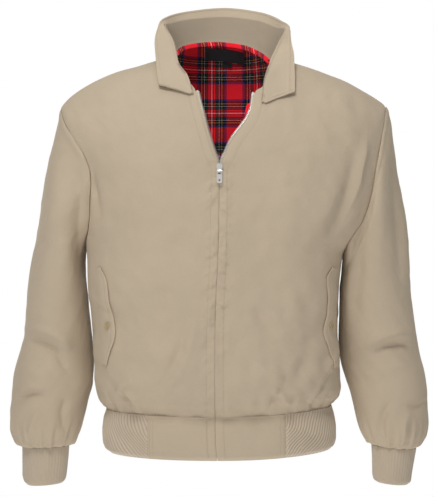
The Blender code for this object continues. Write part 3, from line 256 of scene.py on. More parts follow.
# Pocket flaps: edge by the side seam and free edge, top to bottom (mm)
FLAP = {
    -1: (
        # attached x, z, free x, z
        (-192, -340, -186, -337),
        (-192, -360, -175, -362),
        (-191, -390, -172, -392),
        (-189, -415, -167, -417),
        (-188, -440, -162.5, -440),
        (-186, -470, -172, -472),
        (-184, -490, -177, -493),
    ),
    1: (
        (190, -341, 184, -337),
        (190, -358, 174, -358),
        (190, -385, 175, -388),
        (190, -410, 174, -412),
        (190, -440, 168, -444),
        (190, -472, 174, -470),
        (190, -500, 184, -503),
    ),
}
FLAP_CLOTH = 2.0 * MM
FLAP_LIFT = 0.6 * MM
FLAP_BUTTON = {-1: (-174.6, -430), 1: (179.5, -432)}
BUTTON_PROFILE = ((0.0, 0.3), (4.2, 0.3), (5.2, 0.8), (5.6, 1.5), (5.2, 2.2), (4.4, 2.4),
                  (3.6, 1.9), (0.0, 1.7))

# Neck label and size tab inside the back: columns and rows in the back panel's places
LABEL = ((-0.098, 0.112), (0.948, 0.988))
TAB = ((0.0, 0.046), (0.930, 0.945))
LABEL_TURN = 0.03           # how much lower they lie towards the left
LABEL_CLOTH = 0.7 * MM
LABEL_LAY = 0.8 * MM

# Zip
TAPE_SHOWS = 5.0            # tape and teeth past the cloth's edge (mm)
TAPE_HIDDEN = 9.0

OPEN_TOP_AT = 0.783333      # place of the open edge's top and of the collar's ends on a front
COLLAR_END_AT = 0.826667
UNDERARM_AT = 0.48

# Folds of the body: points (x, z), height, widths on both sides of the line (mm), roundness
FOLDS_FRONT = (
    # from the armholes down over the chest
    (((-186, -262), (-203, -205), (-222, -152)), -4.6, 10, 7, 1.6),
    (((-168, -300), (-182, -250), (-196, -205)), 1.6, 16, 14, 2.0),
    (((222, -150), (211, -205), (192, -262), (166, -306)), -4.2, 17, 12, 1.8),
    (((240, -128), (233, -165), (224, -208), (210, -250)), 4.1, 6, 10, 1.5),
    (((196, -190), (172, -245), (150, -290)), 2.0, 16, 18, 2.0),
    # wearer's right, above the waistband
    (((-44, -392), (-52, -433), (-68, -482), (-108, -542)), -2.4, 12, 8, 1.7),
    (((-30, -398), (-40, -440), (-56, -488), (-94, -545)), 2.4, 8, 12, 1.8),
    (((-165, -534), (-150, -520), (-132, -512)), 4.3, 9, 7, 1.6),
    (((-158, -536), (-149, -546), (-138, -558)), -5.2, 6, 5, 1.3),
    (((-152, -530), (-140, -538), (-128, -548)), 3.8, 6, 6, 1.6),
    (((-128, -556), (-122, -530), (-112, -500)), 2.3, 8, 8, 1.8),
    # wearer's left, above the waistband
    (((66, -492), (88, -504), (106, -512)), 2.9, 7, 9, 1.6),
    (((86, -524), (100, -538), (116, -553)), 3.8, 7, 7, 1.6),
    (((76, -560), (92, -540), (102, -522)), -3.5, 7, 6, 1.5),
    (((182, -502), (164, -540), (152, -558)), -4.9, 6, 8, 1.4),
    (((170, -514), (158, -542), (146, -558)), 3.5, 7, 7, 1.6),
    (((192, -470), (178, -500), (170, -530)), 3.2, 9, 8, 1.7),
    (((150, -470), (128, -500), (118, -530)), -1.6, 12, 10, 1.9),
    # soft hollows and rises of the chest and belly
    (((-92, -150), (-120, -220), (-128, -300)), 2.0, 40, 34, 2.0),
    (((96, -150), (120, -230), (118, -310)), 2.2, 40, 34, 2.0),
    (((-40, -230), (-60, -330), (-88, -420)), -1.6, 26, 30, 2.0),
    (((46, -240), (66, -340), (88, -420)), -1.8, 28, 30, 2.0),
    (((120, -360), (100, -430), (86, -480)), 1.8, 26, 22, 2.0),
    (((-130, -360), (-120, -430), (-128, -490)), 2.0, 26, 20, 2.0),
)
FOLDS_BACK = (
    (((-200, -236), (-158, -296), (-92, -334)), 3.4, 12, 22, 1.7),
    (((-196, -270), (-150, -330), (-100, -372)), -2.6, 14, 12, 1.7),
    (((196, -250), (146, -306), (84, -342)), 3.2, 20, 12, 1.7),
    (((196, -286), (150, -344), (104, -384)), -2.6, 12, 14, 1.7),
    (((-70, -120), (-80, -200), (-66, -280)), 2.0, 34, 26, 2.0),
    (((84, -120), (92, -200), (80, -290)), 2.0, 26, 34, 2.0),
    (((10, -100), (6, -240), (12, -380)), -1.8, 34, 34, 2.0),
    (((-164, -528), (-116, -486), (-62, -474)), -4.3, 12, 8, 1.5),
    (((-150, -548), (-104, -512), (-48, -500)), 3.8, 9, 10, 1.6),
    (((156, -530), (106, -492), (52, -478)), -4.3, 8, 12, 1.5),
    (((140, -550), (96, -518), (40, -506)), 3.8, 10, 9, 1.6),
    (((-100, -556), (-92, -534), (-78, -520)), -2.9, 6, 6, 1.5),
    (((92, -556), (84, -536), (72, -522)), -2.9, 6, 6, 1.5),
)
# Folds of the sleeves: the side seen (1 in front), points (x, z), height, widths, roundness
FOLDS_SLEEVE = {
    -1: (
        (1, ((-316, -457), (-292, -462), (-266, -474), (-246, -508)), -5.8, 9, 7, 1.4),
        (1, ((-318, -440), (-292, -440), (-262, -452), (-236, -474)), 4.3, 9, 10, 1.7),
        (1, ((-300, -410), (-270, -430), (-238, -464)), 1.8, 14, 10, 1.8),
        (1, ((-330, -500), (-300, -508), (-268, -520)), 2.4, 12, 12, 1.8),
        (1, ((-334, -562), (-316, -549), (-300, -544), (-278, -548)), -4.6, 7, 6, 1.4),
        (1, ((-330, -548), (-306, -534), (-276, -534)), 3.5, 8, 8, 1.7),
        (1, ((-246, -610), (-252, -580), (-248, -548)), -3.8, 7, 7, 1.5),
        (1, ((-308, -618), (-300, -590), (-286, -566)), 3.5, 9, 7, 1.6),
        (1, ((-226, -168), (-222, -230), (-224, -300), (-222, -370)), -3.8, 8, 12, 1.7),
        (1, ((-262, -130), (-262, -220), (-268, -330)), 2.4, 20, 18, 2.0),
        (1, ((-290, -180), (-300, -280), (-304, -380)), -1.8, 14, 16, 1.9),
        (-1, ((-318, -446), (-286, -462), (-250, -468), (-222, -462)), -5.2, 9, 8, 1.5),
        (-1, ((-322, -478), (-290, -492), (-250, -496), (-222, -488)), -4.3, 8, 9, 1.5),
        (-1, ((-318, -462), (-284, -478), (-240, -482)), 4.1, 8, 8, 1.7),
        (-1, ((-250, -140), (-252, -240), (-262, -350)), -2.4, 18, 18, 1.9),
        (-1, ((-324, -560), (-300, -572), (-262, -566)), -4.1, 7, 7, 1.5),
    ),
    1: (
        (1, ((320, -472), (300, -464), (276, -466), (252, -480)), -5.5, 8, 8, 1.4),
        (1, ((322, -452), (298, -446), (268, -452), (236, -470)), 4.1, 10, 9, 1.7),
        (1, ((330, -500), (300, -498), (264, -508), (238, -526)), 2.4, 12, 10, 1.8),
        (1, ((284, -150), (290, -200), (296, -280), (300, -370)), -4.3, 9, 12, 1.7),
        (1, ((262, -170), (262, -250), (262, -340)), 2.4, 14, 14, 1.9),
        (1, ((302, -196), (310, -280), (312, -360)), 3.2, 10, 8, 1.8),
        (1, ((236, -260), (228, -330), (224, -410)), -3.8, 12, 8, 1.7),
        (1, ((216, -330), (214, -380), (214, -440)), 2.9, 8, 8, 1.8),
        (1, ((344, -556), (326, -566), (306, -562)), -3.5, 8, 8, 1.5),
        (1, ((262, -618), (266, -584), (282, -552)), -4.3, 8, 7, 1.5),
        (1, ((300, -622), (302, -596), (312, -572)), 3.5, 8, 8, 1.6),
        (-1, ((322, -452), (290, -470), (252, -474), (216, -462)), -5.2, 8, 9, 1.5),
        (-1, ((326, -486), (292, -500), (252, -502), (220, -492)), -4.3, 9, 8, 1.5),
        (-1, ((322, -470), (288, -486), (246, -488)), 4.1, 8, 8, 1.7),
        (-1, ((262, -150), (262, -250), (270, -360)), -2.4, 18, 18, 1.9),
        (-1, ((330, -566), (304, -578), (268, -572)), -4.1, 7, 7, 1.5),
    ),
}

FOLD_STRENGTH = 1.65

TARTAN_PALE = (-10.5, -3.0)  # where the pale stripes cross below the nape (mm)
TARTAN_FRONT = -118.0        # height of a pale stripe on the fronts (mm)
# Tartan sett from the pale stripe to the middle of the red ground: yarn and thread count
SETT = (
    ("pale", 1.5), ("red", 4), ("black", 2), ("red", 7), ("black", 3), ("green", 8), ("black", 4),
    ("pale", 1.8), ("black", 9.2), ("yellow", 2.3), ("black", 10.2), ("blue", 9), ("red", 33),
)
SETT_HALF = (39 * MM, 37 * MM)  # half a repeat across and up

AIR_LIGHT = 0.25            # light from all round; the camera sees a white background
LIGHTS = (
    # name, place, aim (m), size (m), power (W)
    ("key", (-0.35, -1.4, 1.65), (0.0, 0.0, -0.10), (0.8, 0.8), 31),
    ("fill", (-0.7, -2.5, -0.5), (0.0, 0.0, -0.55), (1.6, 1.6), 11.5),
    ("top", (0.1, -0.2, 1.6), (0.0, 0.0, 0.0), (1.4, 1.0), 6),
    ("rear", (0.5, 2.6, 0.7), (0.0, 0.0, -0.35), (1.4, 1.4), 22),
)
FLOOR_WIDE, FLOOR_Z = 6.0, -1.75
EYE = (-1.65 * MM, -307.7 * MM)  # the camera's side position and height
SENSOR = 36.0               # width of the camera's sensor (mm)
RENDER_POINTS = 497         # the longer side of the render in pixels


# ---------------------------------------------------------------- curves

def smooth(places, values, at):
    """Smooth curve through table values: cubic pieces with slopes that never overshoot."""
    places = np.asarray(places, float)
    values = np.asarray(values, float)
    at = np.clip(at, places[0], places[-1])
    step = np.diff(places)
    rise = np.diff(values) / step
    slope = np.zeros_like(values)
    same = rise[1:] * rise[:-1] > 0
    total = np.where(same, rise[1:] + rise[:-1], 1.0)
    slope[1:-1] = np.where(same, 2 * rise[1:] * rise[:-1] / total, 0.0)
    slope[0], slope[-1] = rise[0], rise[-1]
    i = np.clip(np.searchsorted(places, at) - 1, 0, len(step) - 1)
    h = step[i]
    u = (at - places[i]) / h
    return ((1 + 2 * u) * (1 - u) ** 2 * values[i] + u * (1 - u) ** 2 * h * slope[i]
            + u * u * (3 - 2 * u) * values[i + 1] + u * u * (u - 1) * h * slope[i + 1])


def smoothstep(low, high, at):
    u = np.clip((at - low) / (high - low), 0, 1)
    return u * u * (3 - 2 * u)


def metres(table):
    return np.asarray(table, float) * MM


def unit(vectors):
    return vectors / np.linalg.norm(vectors, axis=-1, keepdims=True)


def run_length(points):
    """Length along a line of points from its first one."""
    return np.r_[0, np.cumsum(np.linalg.norm(np.diff(points, axis=0), axis=1))]


def path(points, count=240, power=3):
    """Points on a smooth curve through the given ones: even at power 1, else closest at its end."""
    points = np.asarray(points, float)
    lengths = run_length(points)
    at = lengths[-1] * (1 - (1 - np.linspace(0, 1, count)) ** power)
    return np.stack([smooth(lengths, points[:, k], at) for k in range(points.shape[1])], 1)


def sampled(at, run, values):
    """Columns of values given along run, read at the places at."""
    return np.stack([np.interp(at, run, column) for column in values.T], -1)


def bell(distance, width, power=2):
    """exp(-(distance / width) ** power)"""
    return np.exp(-(distance / width) ** power)


BODY_Z, *BODY_COLUMNS = metres(BODY).T
SHOULDER = {-1: metres(SHOULDER_RIGHT), 1: metres(SHOULDER_LEFT)}


# ---------------------------------------------------------------- body form

def half_width(x, z):
    return np.where(x < 0, smooth(BODY_Z, BODY_COLUMNS[0], z), smooth(BODY_Z, BODY_COLUMNS[1], z))


def depth(face, z):
    return smooth(BODY_Z, BODY_COLUMNS[2 if face > 0 else 3], z)


def neck_place(x):
    """Place across the neck: 0 at its middle, 1 at either neck point."""
    reach = np.where(x < NECK_MIDDLE * MM, (NECK_MIDDLE + NECK_POINT[-1]) * MM,
                     (NECK_POINT[1] - NECK_MIDDLE) * MM)
    return np.abs(x - NECK_MIDDLE * MM) / reach


def shoulder_line(face, x):
    """Height of the shoulder line; behind, it rises round the nape."""
    height = np.where(x < 0, smooth(*SHOULDER[-1].T, np.abs(x)), smooth(*SHOULDER[1].T, np.abs(x)))
    if face < 0:
        behind = metres(NAPE).T
        inside = (x > behind[0, 0]) & (x < behind[0, -1])
        height = np.where(inside, smooth(*behind, x), height)
    return height


def arch(share):
    share = np.clip(share, 0, 1)
    return (share * (2 - share)) ** ARCH_POWER


def body_y(face, x, z):
    """Y of the body form in front (face 1) or behind (face -1)."""
    r = np.clip(np.abs(x) / half_width(x, z), 0, 1)
    round_side = (1 - r ** SQUARENESS) ** (1 / SQUARENESS)
    return -face * depth(face, z) * round_side * arch((shoulder_line(face, x) - z) / SHOULDER_ARCH)


def drop(face, x, z):
    """How far a point near the waistband lies below its table height."""
    front, right, back, left = SEAM_DROP
    r = np.clip(np.abs(x) / half_width(x, z), 0, 1) ** 2
    middle = front if face > 0 else back
    side = np.where(x < 0, right, left)
    fade = 1 - smoothstep(DROP_FADES[0] * MM, DROP_FADES[1] * MM, z)
    return (middle * (1 - r) + side * r) * MM * fade


def on_body(face, x, z):
    return np.stack([x, body_y(face, x, z), z - drop(face, x, z)], -1)


# ---------------------------------------------------------------- panels of the body

def centre_front(z):
    return smooth(*metres(CENTRE_FRONT).T, z)


def neck_seam_back(x):
    """Height of the back neck seam: where the form reaches the neck's ellipse."""
    u = np.clip(neck_place(x), 0, 1)
    wanted = NECK_BACK_DEPTH * MM * np.sqrt(1 - u * u)
    line = shoulder_line(-1, x)
    share = np.clip(wanted / depth(-1, line), 0, 0.999) ** (1 / ARCH_POWER)
    return line - SHOULDER_ARCH * (1 - np.sqrt(1 - share))


def paced(lines, face, marks):
    """Joins dense lines (x, z) and gives each point a place by its length between marks."""
    points = np.concatenate(lines)
    ends = np.cumsum([len(line) for line in lines]) - 1
    length = run_length(on_body(face, points[:, 0], points[:, 1]))
    at = np.interp(length, np.r_[0, length[ends]], np.r_[0, marks])
    return at, points[:, 0], points[:, 1]


def seam_tables(face, side):
    """Inner and outer boundary of a half panel, from the waist seam to the shoulder seam."""
    rise = np.linspace(WAIST_Z * MM, UNDERARM[side] * MM, 160)
    below = np.stack([side * half_width(side * np.ones_like(rise), rise), rise], 1)
    armhole = path(metres((ARMHOLE_FRONT if face > 0 else ARMHOLE_BACK)[side]) * (side, 1))
    outer = paced([below, armhole], face, (UNDERARM_AT, 1.0))
    if face > 0:
        up = np.linspace(WAIST_Z * MM, ZIP_TOP_Z * MM, 160)
        closed = np.stack([centre_front(up) + side * GAP / 2, up], 1)
        edge = path(metres(OPEN_EDGE[side]))
        neck = metres(NECK_FRONT[side])
        stub = path(neck[:2], 20)
        seam = path(neck[1:])
        inner = paced([np.concatenate([closed, edge]), stub, seam], face,
                      (OPEN_TOP_AT, COLLAR_END_AT, 1.0))
    else:
        nape = neck_seam_back(np.asarray(NECK_MIDDLE * MM))
        up = np.linspace(WAIST_Z * MM, float(nape), 200)
        middle = NECK_MIDDLE * MM * smoothstep(WAIST_Z * MM, float(nape), up)
        inner = paced([np.stack([middle, up], 1)], face, (1.0,))
    return inner, outer


def open_edge(side):
    """Points (x, z) of the open neck's edge in the order of their heights."""
    edge = path(metres(OPEN_EDGE[side]))
    return edge[np.argsort(edge[:, 1])]


SEAMS = {(face, side): seam_tables(face, side) for face in (1, -1) for side in (-1, 1)}
EDGES = {side: open_edge(side) for side in (-1, 1)}


def top_line(face, x):
    """Upper edge of a panel: the shoulder seam and, behind, the neck seam."""
    line = shoulder_line(face, x)
    if face < 0:
        line = np.where(neck_place(x) < 1, neck_seam_back(x), line)
    return line


def half_panel(face, side, s, t):
    """Body form between centre (s 0) and side seam or armhole (s 1), waist (t 0) to top (t 1)."""
    inner, outer = SEAMS[face, side]
    xi, zi = np.interp(t, inner[0], inner[1]), np.interp(t, inner[0], inner[2])
    xo, zo = np.interp(t, outer[0], outer[1]), np.interp(t, outer[0], outer[2])
    start = np.arcsin(np.clip(xi / half_width(xo, zi), -1, 1))
    stop = np.arcsin(np.clip(xo / half_width(xo, zo), -1, 1))
    share = ((np.sin(start + (stop - start) * s) - np.sin(start))
             / (np.sin(stop) - np.sin(start)))
    x = xi + (xo - xi) * share
    bend = smoothstep(0.55, 1.0, t)
    chord = top_line(face, xi) * (1 - share) + top_line(face, xo) * share
    z = zi + (zo - zi) * share + bend * (top_line(face, x) - chord)
    return x, z


def ring_tables(table):
    """Places along a tube by the length of its centre line, and its columns."""
    data = metres(table)
    length = run_length((data[:, 0:2] + data[:, 2:4]) / 2)
    return length / length[-1], data


def ring_point(tables, around, along):
    """Elliptical ring between its outer and inner edge, seen from the front."""
    places, data = tables
    xo, zo, xi, zi, half_depth, middle = (smooth(places, data[:, k], along) for k in range(6))
    c, s = np.cos(2 * np.pi * around), np.sin(2 * np.pi * around)
    x = (xo + xi) / 2 + (xo - xi) / 2 * c
    z = (zo + zi) / 2 + (zo - zi) / 2 * c
    return np.stack([x, middle + half_depth * s, z], -1)


def beside_body(side, points, room):
    """Moves points out to lie beside the body where they would press into it."""
    x, y, z = points[..., 0], points[..., 1], points[..., 2]
    a = half_width(np.full_like(z, side), z)
    b = np.where(y < 0, depth(1, z), depth(-1, z))
    r = np.clip(np.abs(y) / b, 0, 1)
    edge = a * (1 - r ** SQUARENESS) ** (1 / SQUARENESS) + room
    edge -= CHEST_FREE * MM * smoothstep(-0.19, -0.13, z)
    return np.stack([side * np.maximum(side * x, edge), y, z], -1)


def waist_ring(z, count=1600):
    """Body form round at height z, from the middle of the front by the right and the back."""
    turn = np.linspace(0, 2 * np.pi, count)
    sx, cy = np.sin(turn), np.cos(turn)
    x = -np.sign(sx) * np.abs(sx) ** (2 / SQUARENESS)
    z = np.full_like(x, z)
    x = x * half_width(x, z)
    y = np.abs(cy) ** (2 / SQUARENESS) * np.where(cy > 0, -depth(1, z), depth(-1, z))
    return np.stack([x, y, z - np.where(cy > 0, drop(1, x, z), drop(-1, x, z))], -1)


# ---------------------------------------------------------------- relief of the cloth

def fold(line, height, low, high, roundness, x, z):
    """One fold at points (x, z): height * exp(-(distance / width) ** roundness).

    The width differs on the two sides of the line, and sin(pi * place) fades its ends.
    """
    points = path(line, 14, 1) * MM
    best = np.full(x.shape, 9.0)
    width = np.full(x.shape, 1.0)
    place = np.zeros(x.shape)
    for k, (a, b) in enumerate(zip(points, points[1:])):
        run = b - a
        u = np.clip(((x - a[0]) * run[0] + (z - a[1]) * run[1]) / (run @ run), 0, 1)
        dx, dz = x - a[0] - u * run[0], z - a[1] - u * run[1]
        distance = np.hypot(dx, dz)
        nearer = distance < best
        best = np.where(nearer, distance, best)
        width = np.where(nearer, np.where(run[0] * dz - run[1] * dx > 0, low, high), width)
        place = np.where(nearer, (k + u) / (len(points) - 1), place)
    ends = np.sin(np.pi * np.clip(place, 0.03, 0.97)) ** 0.7
    return height * MM * ends * bell(best, width * MM, roundness)


def uneven(a, b, size, seed):
    """Seeded unevenness from -1 to 1: values on a lattice of that size, blended in between."""
    lattice = np.random.default_rng(seed).uniform(-1, 1, (67, 67))
    i, j = a / size + 300, b / size + 300
    low_i, low_j = np.floor(i).astype(int), np.floor(j).astype(int)
    u, v = smoothstep(0, 1, i - low_i), smoothstep(0, 1, j - low_j)
    corner = [[lattice[(low_i + p) % 67, (low_j + q) % 67] for q in (0, 1)] for p in (0, 1)]
    return ((corner[0][0] * (1 - v) + corner[0][1] * v) * (1 - u)
            + (corner[1][0] * (1 - v) + corner[1][1] * v) * u)


def relief(face, x, z):
    """Height of the body's cloth over the form: its folds and a slight unevenness."""
    total = np.zeros(x.shape)
    for line, height, low, high, roundness in FOLDS_FRONT if face > 0 else FOLDS_BACK:
        total += fold(line, height, low, high, roundness, x, z)
    lower = smoothstep(-0.30, -0.50, z)
    total *= FOLD_STRENGTH
    total += uneven(x, z, 0.070, 11 + face) * (1.8 + 1.4 * lower) * MM
    total += uneven(x * 1.3 + z, z - x, 0.030, 23 + face) * (1.05 + 1.35 * lower) * MM
    total += uneven(x + 0.6 * z, z, 0.013, 33 + face) * (0.24 + 0.38 * lower) * MM
    return total


def body_normal(face, x, z):
    """Outward normal of the form from steps of half a millimetre to all sides."""
    e = 0.5 * MM
    dx = on_body(face, x + e, z) - on_body(face, x - e, z)
    dz = on_body(face, x, z + e) - on_body(face, x, z - e)
    n = unit(np.cross(dx, dz))
    return n * -face * np.sign(n[..., 1:2])


def body_skin(face, x, z, out):
    """Point on the body's cloth moved out along the normal, away from sides and shoulders."""
    return on_body(face, x, z) + body_normal(face, x, z) * (relief(face, x, z) + out)[..., None]


# ---------------------------------------------------------------- grids and meshes

def grid_normals(points, closed=False):
    """Unit normals of a grid of points, from the steps along its columns and rows."""
    if closed:
        wide = np.concatenate([points[:, -1:], points, points[:, :1]], axis=1)
        along_row = np.gradient(wide, axis=1)[:, 1:-1]
    else:
        along_row = np.gradient(points, axis=1)
    n = np.cross(along_row, np.gradient(points, axis=0))
    return n / np.maximum(np.linalg.norm(n, axis=-1, keepdims=True), 1e-12)


def lengths_along(points, axis):
    step = np.linalg.norm(np.diff(points, axis=axis), axis=-1)
    pad = [(1, 0) if k == axis else (0, 0) for k in range(2)]
    return np.cumsum(np.pad(step, pad), axis=axis)


def outward(normals, points, centre=INSIDE):
    """A grid's normals, all turned over if they point towards the centre."""
    return -normals if ((points - centre) * normals).sum() < 0 else normals


def loft(lines, places, rows):
    """Grid of smooth curves through each column's points on the given lines."""
    lines = np.asarray(lines)
    return np.stack([[smooth(places, lines[:, j, k], rows) for k in range(3)]
                     for j in range(lines.shape[1])]).transpose(2, 0, 1)


def metric_uv(points):
    """UV in metres: lengths along rows from the middle column, and along columns."""
    u = lengths_along(points, 1)
    return np.stack([u - u[:, points.shape[1] // 2][:, None], lengths_along(points, 0)], -1)


def placed(name, data, location=(0.0, 0.0, 0.0), rotation=(0.0, 0.0, 0.0)):
    """New object of the scene with that mesh, light or camera."""
    made = bpy.data.objects.new(name, data)
    made.location, made.rotation_euler = location, rotation
    bpy.context.scene.collection.objects.link(made)
    return made


def make_mesh(name, verts, faces, uv, material, sharp=60):
    """Mesh object with a UV for each vertex; faces are lists of vertex numbers."""
    mesh = bpy.data.meshes.new(name)
    mesh.from_pydata(verts.tolist(), [], faces)
    layer = mesh.uv_layers.new(name="metres")
    corner = np.zeros(len(mesh.loops), int)
    mesh.loops.foreach_get("vertex_index", corner)
    layer.data.foreach_set("uv", uv[corner].astype(np.float32).ravel())
    mesh.shade_smooth()
    mesh.set_sharp_from_angle(angle=math.radians(sharp))
    mesh.materials.append(material)
    return placed(name, mesh)


def quads(number):
    """Faces between the numbered points of a grid."""
    corners = number[:-1, :-1], number[:-1, 1:], number[1:, 1:], number[1:, :-1]
    return np.stack(corners, -1).reshape(-1, 4)


def rim(fine, coarse, at, turned):
    """Faces from an edge of the fine grid to the same edge of the coarse one."""
    made = []
    for k, (a, b) in enumerate(zip(at, at[1:])):
        run, back = fine[a:b + 1].tolist(), coarse[k:k + 2].tolist()
        made.append(run[::-1] + back if turned else run + back[::-1])
    return made


def tube_faces(rings, corners, copies=1):
    """Faces of copies of a tube: quads from ring to ring, and a cap at either end."""
    number = np.arange(rings * corners).reshape(rings, corners)
    sides = quads(np.concatenate([number, number[:, :1]], 1))
    caps = np.stack([number[0, ::-1], number[-1]])
    starts = rings * corners * np.arange(copies)[:, None, None]
    return (sides + starts).reshape(-1, 4).tolist() + (caps + starts).reshape(-1, corners).tolist()


def shell(name, outer, thick, material, closed=False, uv=None, every=4, facing=INSIDE, away=True):
    """Closed wall from a fine grid (rows, columns, 3) and a coarser grid a thickness below it.

    facing is a point, or one point for each row, that the fine side turns away from (or to).
    """
    normals = grid_normals(outer, closed)
    if uv is None:
        uv = metric_uv(outer)
    if facing is not None and (((outer - facing) * normals).sum() < 0) == away:
        outer, uv, normals = outer[:, ::-1], uv[:, ::-1], -normals[:, ::-1]
    rows, cols = outer.shape[:2]
    low = np.unique(np.r_[0:rows:every, rows - 1])
    across = np.unique(np.r_[0:cols:every, 0 if closed else cols - 1])
    coarse = np.ix_(low, across)
    inner = (outer - normals * thick)[coarse]
    number = np.arange(rows * cols).reshape(rows, cols)
    inside = rows * cols + np.arange(len(low) * len(across)).reshape(len(low), len(across))
    if closed:
        number, inside = (np.concatenate([part, part[:, :1]], 1) for part in (number, inside))
        across = np.r_[across, cols]
    faces = np.concatenate([quads(number), quads(inside)[:, [0, 3, 2, 1]]]).tolist()
    faces += rim(number[0], inside[0], across, True) + rim(number[-1], inside[-1], across, False)
    if not closed:
        faces += rim(number[:, 0], inside[:, 0], low, False)
        faces += rim(number[:, -1], inside[:, -1], low, True)
    verts = np.concatenate([outer.reshape(-1, 3), inner.reshape(-1, 3)])
    places = np.concatenate([uv.reshape(-1, 2), uv[coarse].reshape(-1, 2)])
    return make_mesh(name, verts, faces, places, material)


def dress(made, slot, *nodes, flat=None, held=None, rests_on=(), area=None):
    """Ties a piece to the body it moves with and hides the nodes it stands in for; slot is not
    used.
    """
    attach(made, "jacket")
    if nodes:
        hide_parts(*nodes)


# ---------------------------------------------------------------- fronts and back

def panel_base(face, side, s, t):
    """Points (x, z) of a panel; the back runs from s -1 on the right to s 1 on the left."""
    if face > 0:
        return half_panel(face, side, s, t)
    halves = zip(half_panel(face, -1, np.abs(s), t), half_panel(face, 1, np.abs(s), t))
    return [np.where(s < 0, right, left) for right, left in halves]


def on_panel(face, side, s, t):
    return on_body(face, *panel_base(face, side, s, t))


def on_seam(face, side, s, t, low, high):
    """Points at places (s, t) of a panel and the outward normals there.

    The normals are taken from low to high across, and over a step to either side in t.
    """
    p = on_panel(face, side, s, t)
    rise = (on_panel(face, side, s, np.minimum(t + SEAM_STEP, 1))
            - on_panel(face, side, s, np.maximum(t - SEAM_STEP, 0)))
    n = unit(np.cross(on_panel(face, side, high, t) - on_panel(face, side, low, t), rise))
    return p, n * np.sign(((p - INSIDE) * n).sum(-1))[:, None]


def waves(u, shift, *sines):
    """Uneven waves: a sum of sines, each given by its number along u, share and phase."""
    return sum(share * np.sin(2 * np.pi * count * u + phase + shift)
               for count, share, phase in sines)


def gathers(s, t, face):
    """Gathers above the waistband: uneven waves that fade upwards and towards the zip."""
    reach = smoothstep(0.34, 0.50, s) if face > 0 else 1.0
    wave = waves(s / 2, 3 * t, (13, 0.55, 0.4), (21, 0.45, 1.9), (34, 0.25, 3.1))
    deep = 0.75 + 0.25 * uneven(s * 0.5, t, 0.05, 5)
    rounded = smoothstep(0, 0.012, t) * 0.9 + 0.1
    rise = 3.2 * wave * (1 - smoothstep(0.0, 0.085, t)) + 0.9 * (1 - smoothstep(0.0, 0.05, t))
    return reach * rounded * deep * MM * rise


def panel_grid(face, side, columns, rows, out=0.0, trimmed=True, follows=1.0):
    """Grid on a panel's cloth, moved out by out, and the form's normals.

    The height over the form is relief, gathers and sunk seams. A lining follows only a share.
    """
    s, t = np.meshgrid(columns, rows)
    x, z = panel_base(face, side, s, t)
    base = on_body(face, x, z)
    normals = outward(grid_normals(base), base)
    edge = np.abs(s)
    beside = smoothstep(0.0, 0.07, 1 - edge) * smoothstep(0.0, 0.05, 1 - t)
    if face > 0:
        beside = beside * smoothstep(-0.02, 0.06, s)
    height = relief(face, x, z) * beside + gathers(edge, t, face)
    # a lining keeps clear of its cloth: it fills out less and sinks a little deeper
    height = height * np.where(height > 0, follows, 2.0 - follows)
    if trimmed:
        height = height - 0.5 * MM * (bell(1 - edge, 0.007) + bell(1 - t, 0.006))
        if face > 0:
            height = height + placket(x, z, side)
    points = base + normals * (height + out)[..., None]
    sewn = ((edge > 0.9999) & (t <= UNDERARM_AT)) | (t > 0.9999)
    points[..., 1] -= np.where(sewn, face * GAP / 2, 0.0)
    return points, normals


def placket(x, z, side):
    """The stitched strip beside the zip: a sunk row of stitches, puckers, a rounded edge."""
    off = np.abs(x - edge_line(side, z))
    pull = uneven(z + 0.5 * off, 0 * z, 0.010, 40 + side) + 0.6 * uneven(z, off, 0.006, 44 + side)
    strong = (1 - smoothstep(-0.180, -0.168, z)) * (0.35 + 0.65 * smoothstep(-0.52, -0.40, z))
    puckers = bell(off - 10 * MM, 8 * MM) * pull * (3.6 - 0.5 * side) * strong
    lying = smoothstep(PLACKET, 9 * MM, off) * 0.35
    sunk = 0.35 * bell(off - PLACKET, 1.3 * MM) + 0.9 * bell(off, 1.1 * MM)
    return MM * (lying + np.clip(puckers, -1.1, 2.0) - sunk)


def edge_line(side, z):
    """Side position of the zip edge at a height: the centre front, or the open edge above."""
    x, height = EDGES[side].T
    return np.where(z < ZIP_TOP_Z * MM, centre_front(z), np.interp(z, height, x))


def front_panel(word, side, material):
    """Front: the form from zip to side seam, with folds, gathers and placket along its normal."""
    columns = np.r_[np.linspace(0, 0.012, 4)[:-1], np.linspace(0.012, 1, 165)]
    rows = np.r_[np.linspace(0, 0.06, 26)[:-1], np.linspace(0.06, 1, 262)]
    made = shell(f"front_{word}_cloth", panel_grid(1, side, columns, rows)[0], CLOTH, material)
    dress(made, "poplin", "front_" + word, flat=(0.30, 0.64), area=0.150, held="draped",
          rests_on=[f"lining_front_{word}_cloth"])


def back_panel(material):
    """Back: the form from side seam to side seam, with folds and gathers along its normal."""
    rows = np.r_[np.linspace(0, 0.06, 22)[:-1], np.linspace(0.06, 1, 250)]
    points, _ = panel_grid(-1, 0, np.linspace(-1, 1, 277), rows)
    made = shell("back_cloth", points, CLOTH, material)
    dress(made, "poplin", "back", flat=(0.66, 0.66), area=0.36, held="draped",
          rests_on=["lining_back_cloth"])


# ---------------------------------------------------------------- sleeves and cuffs

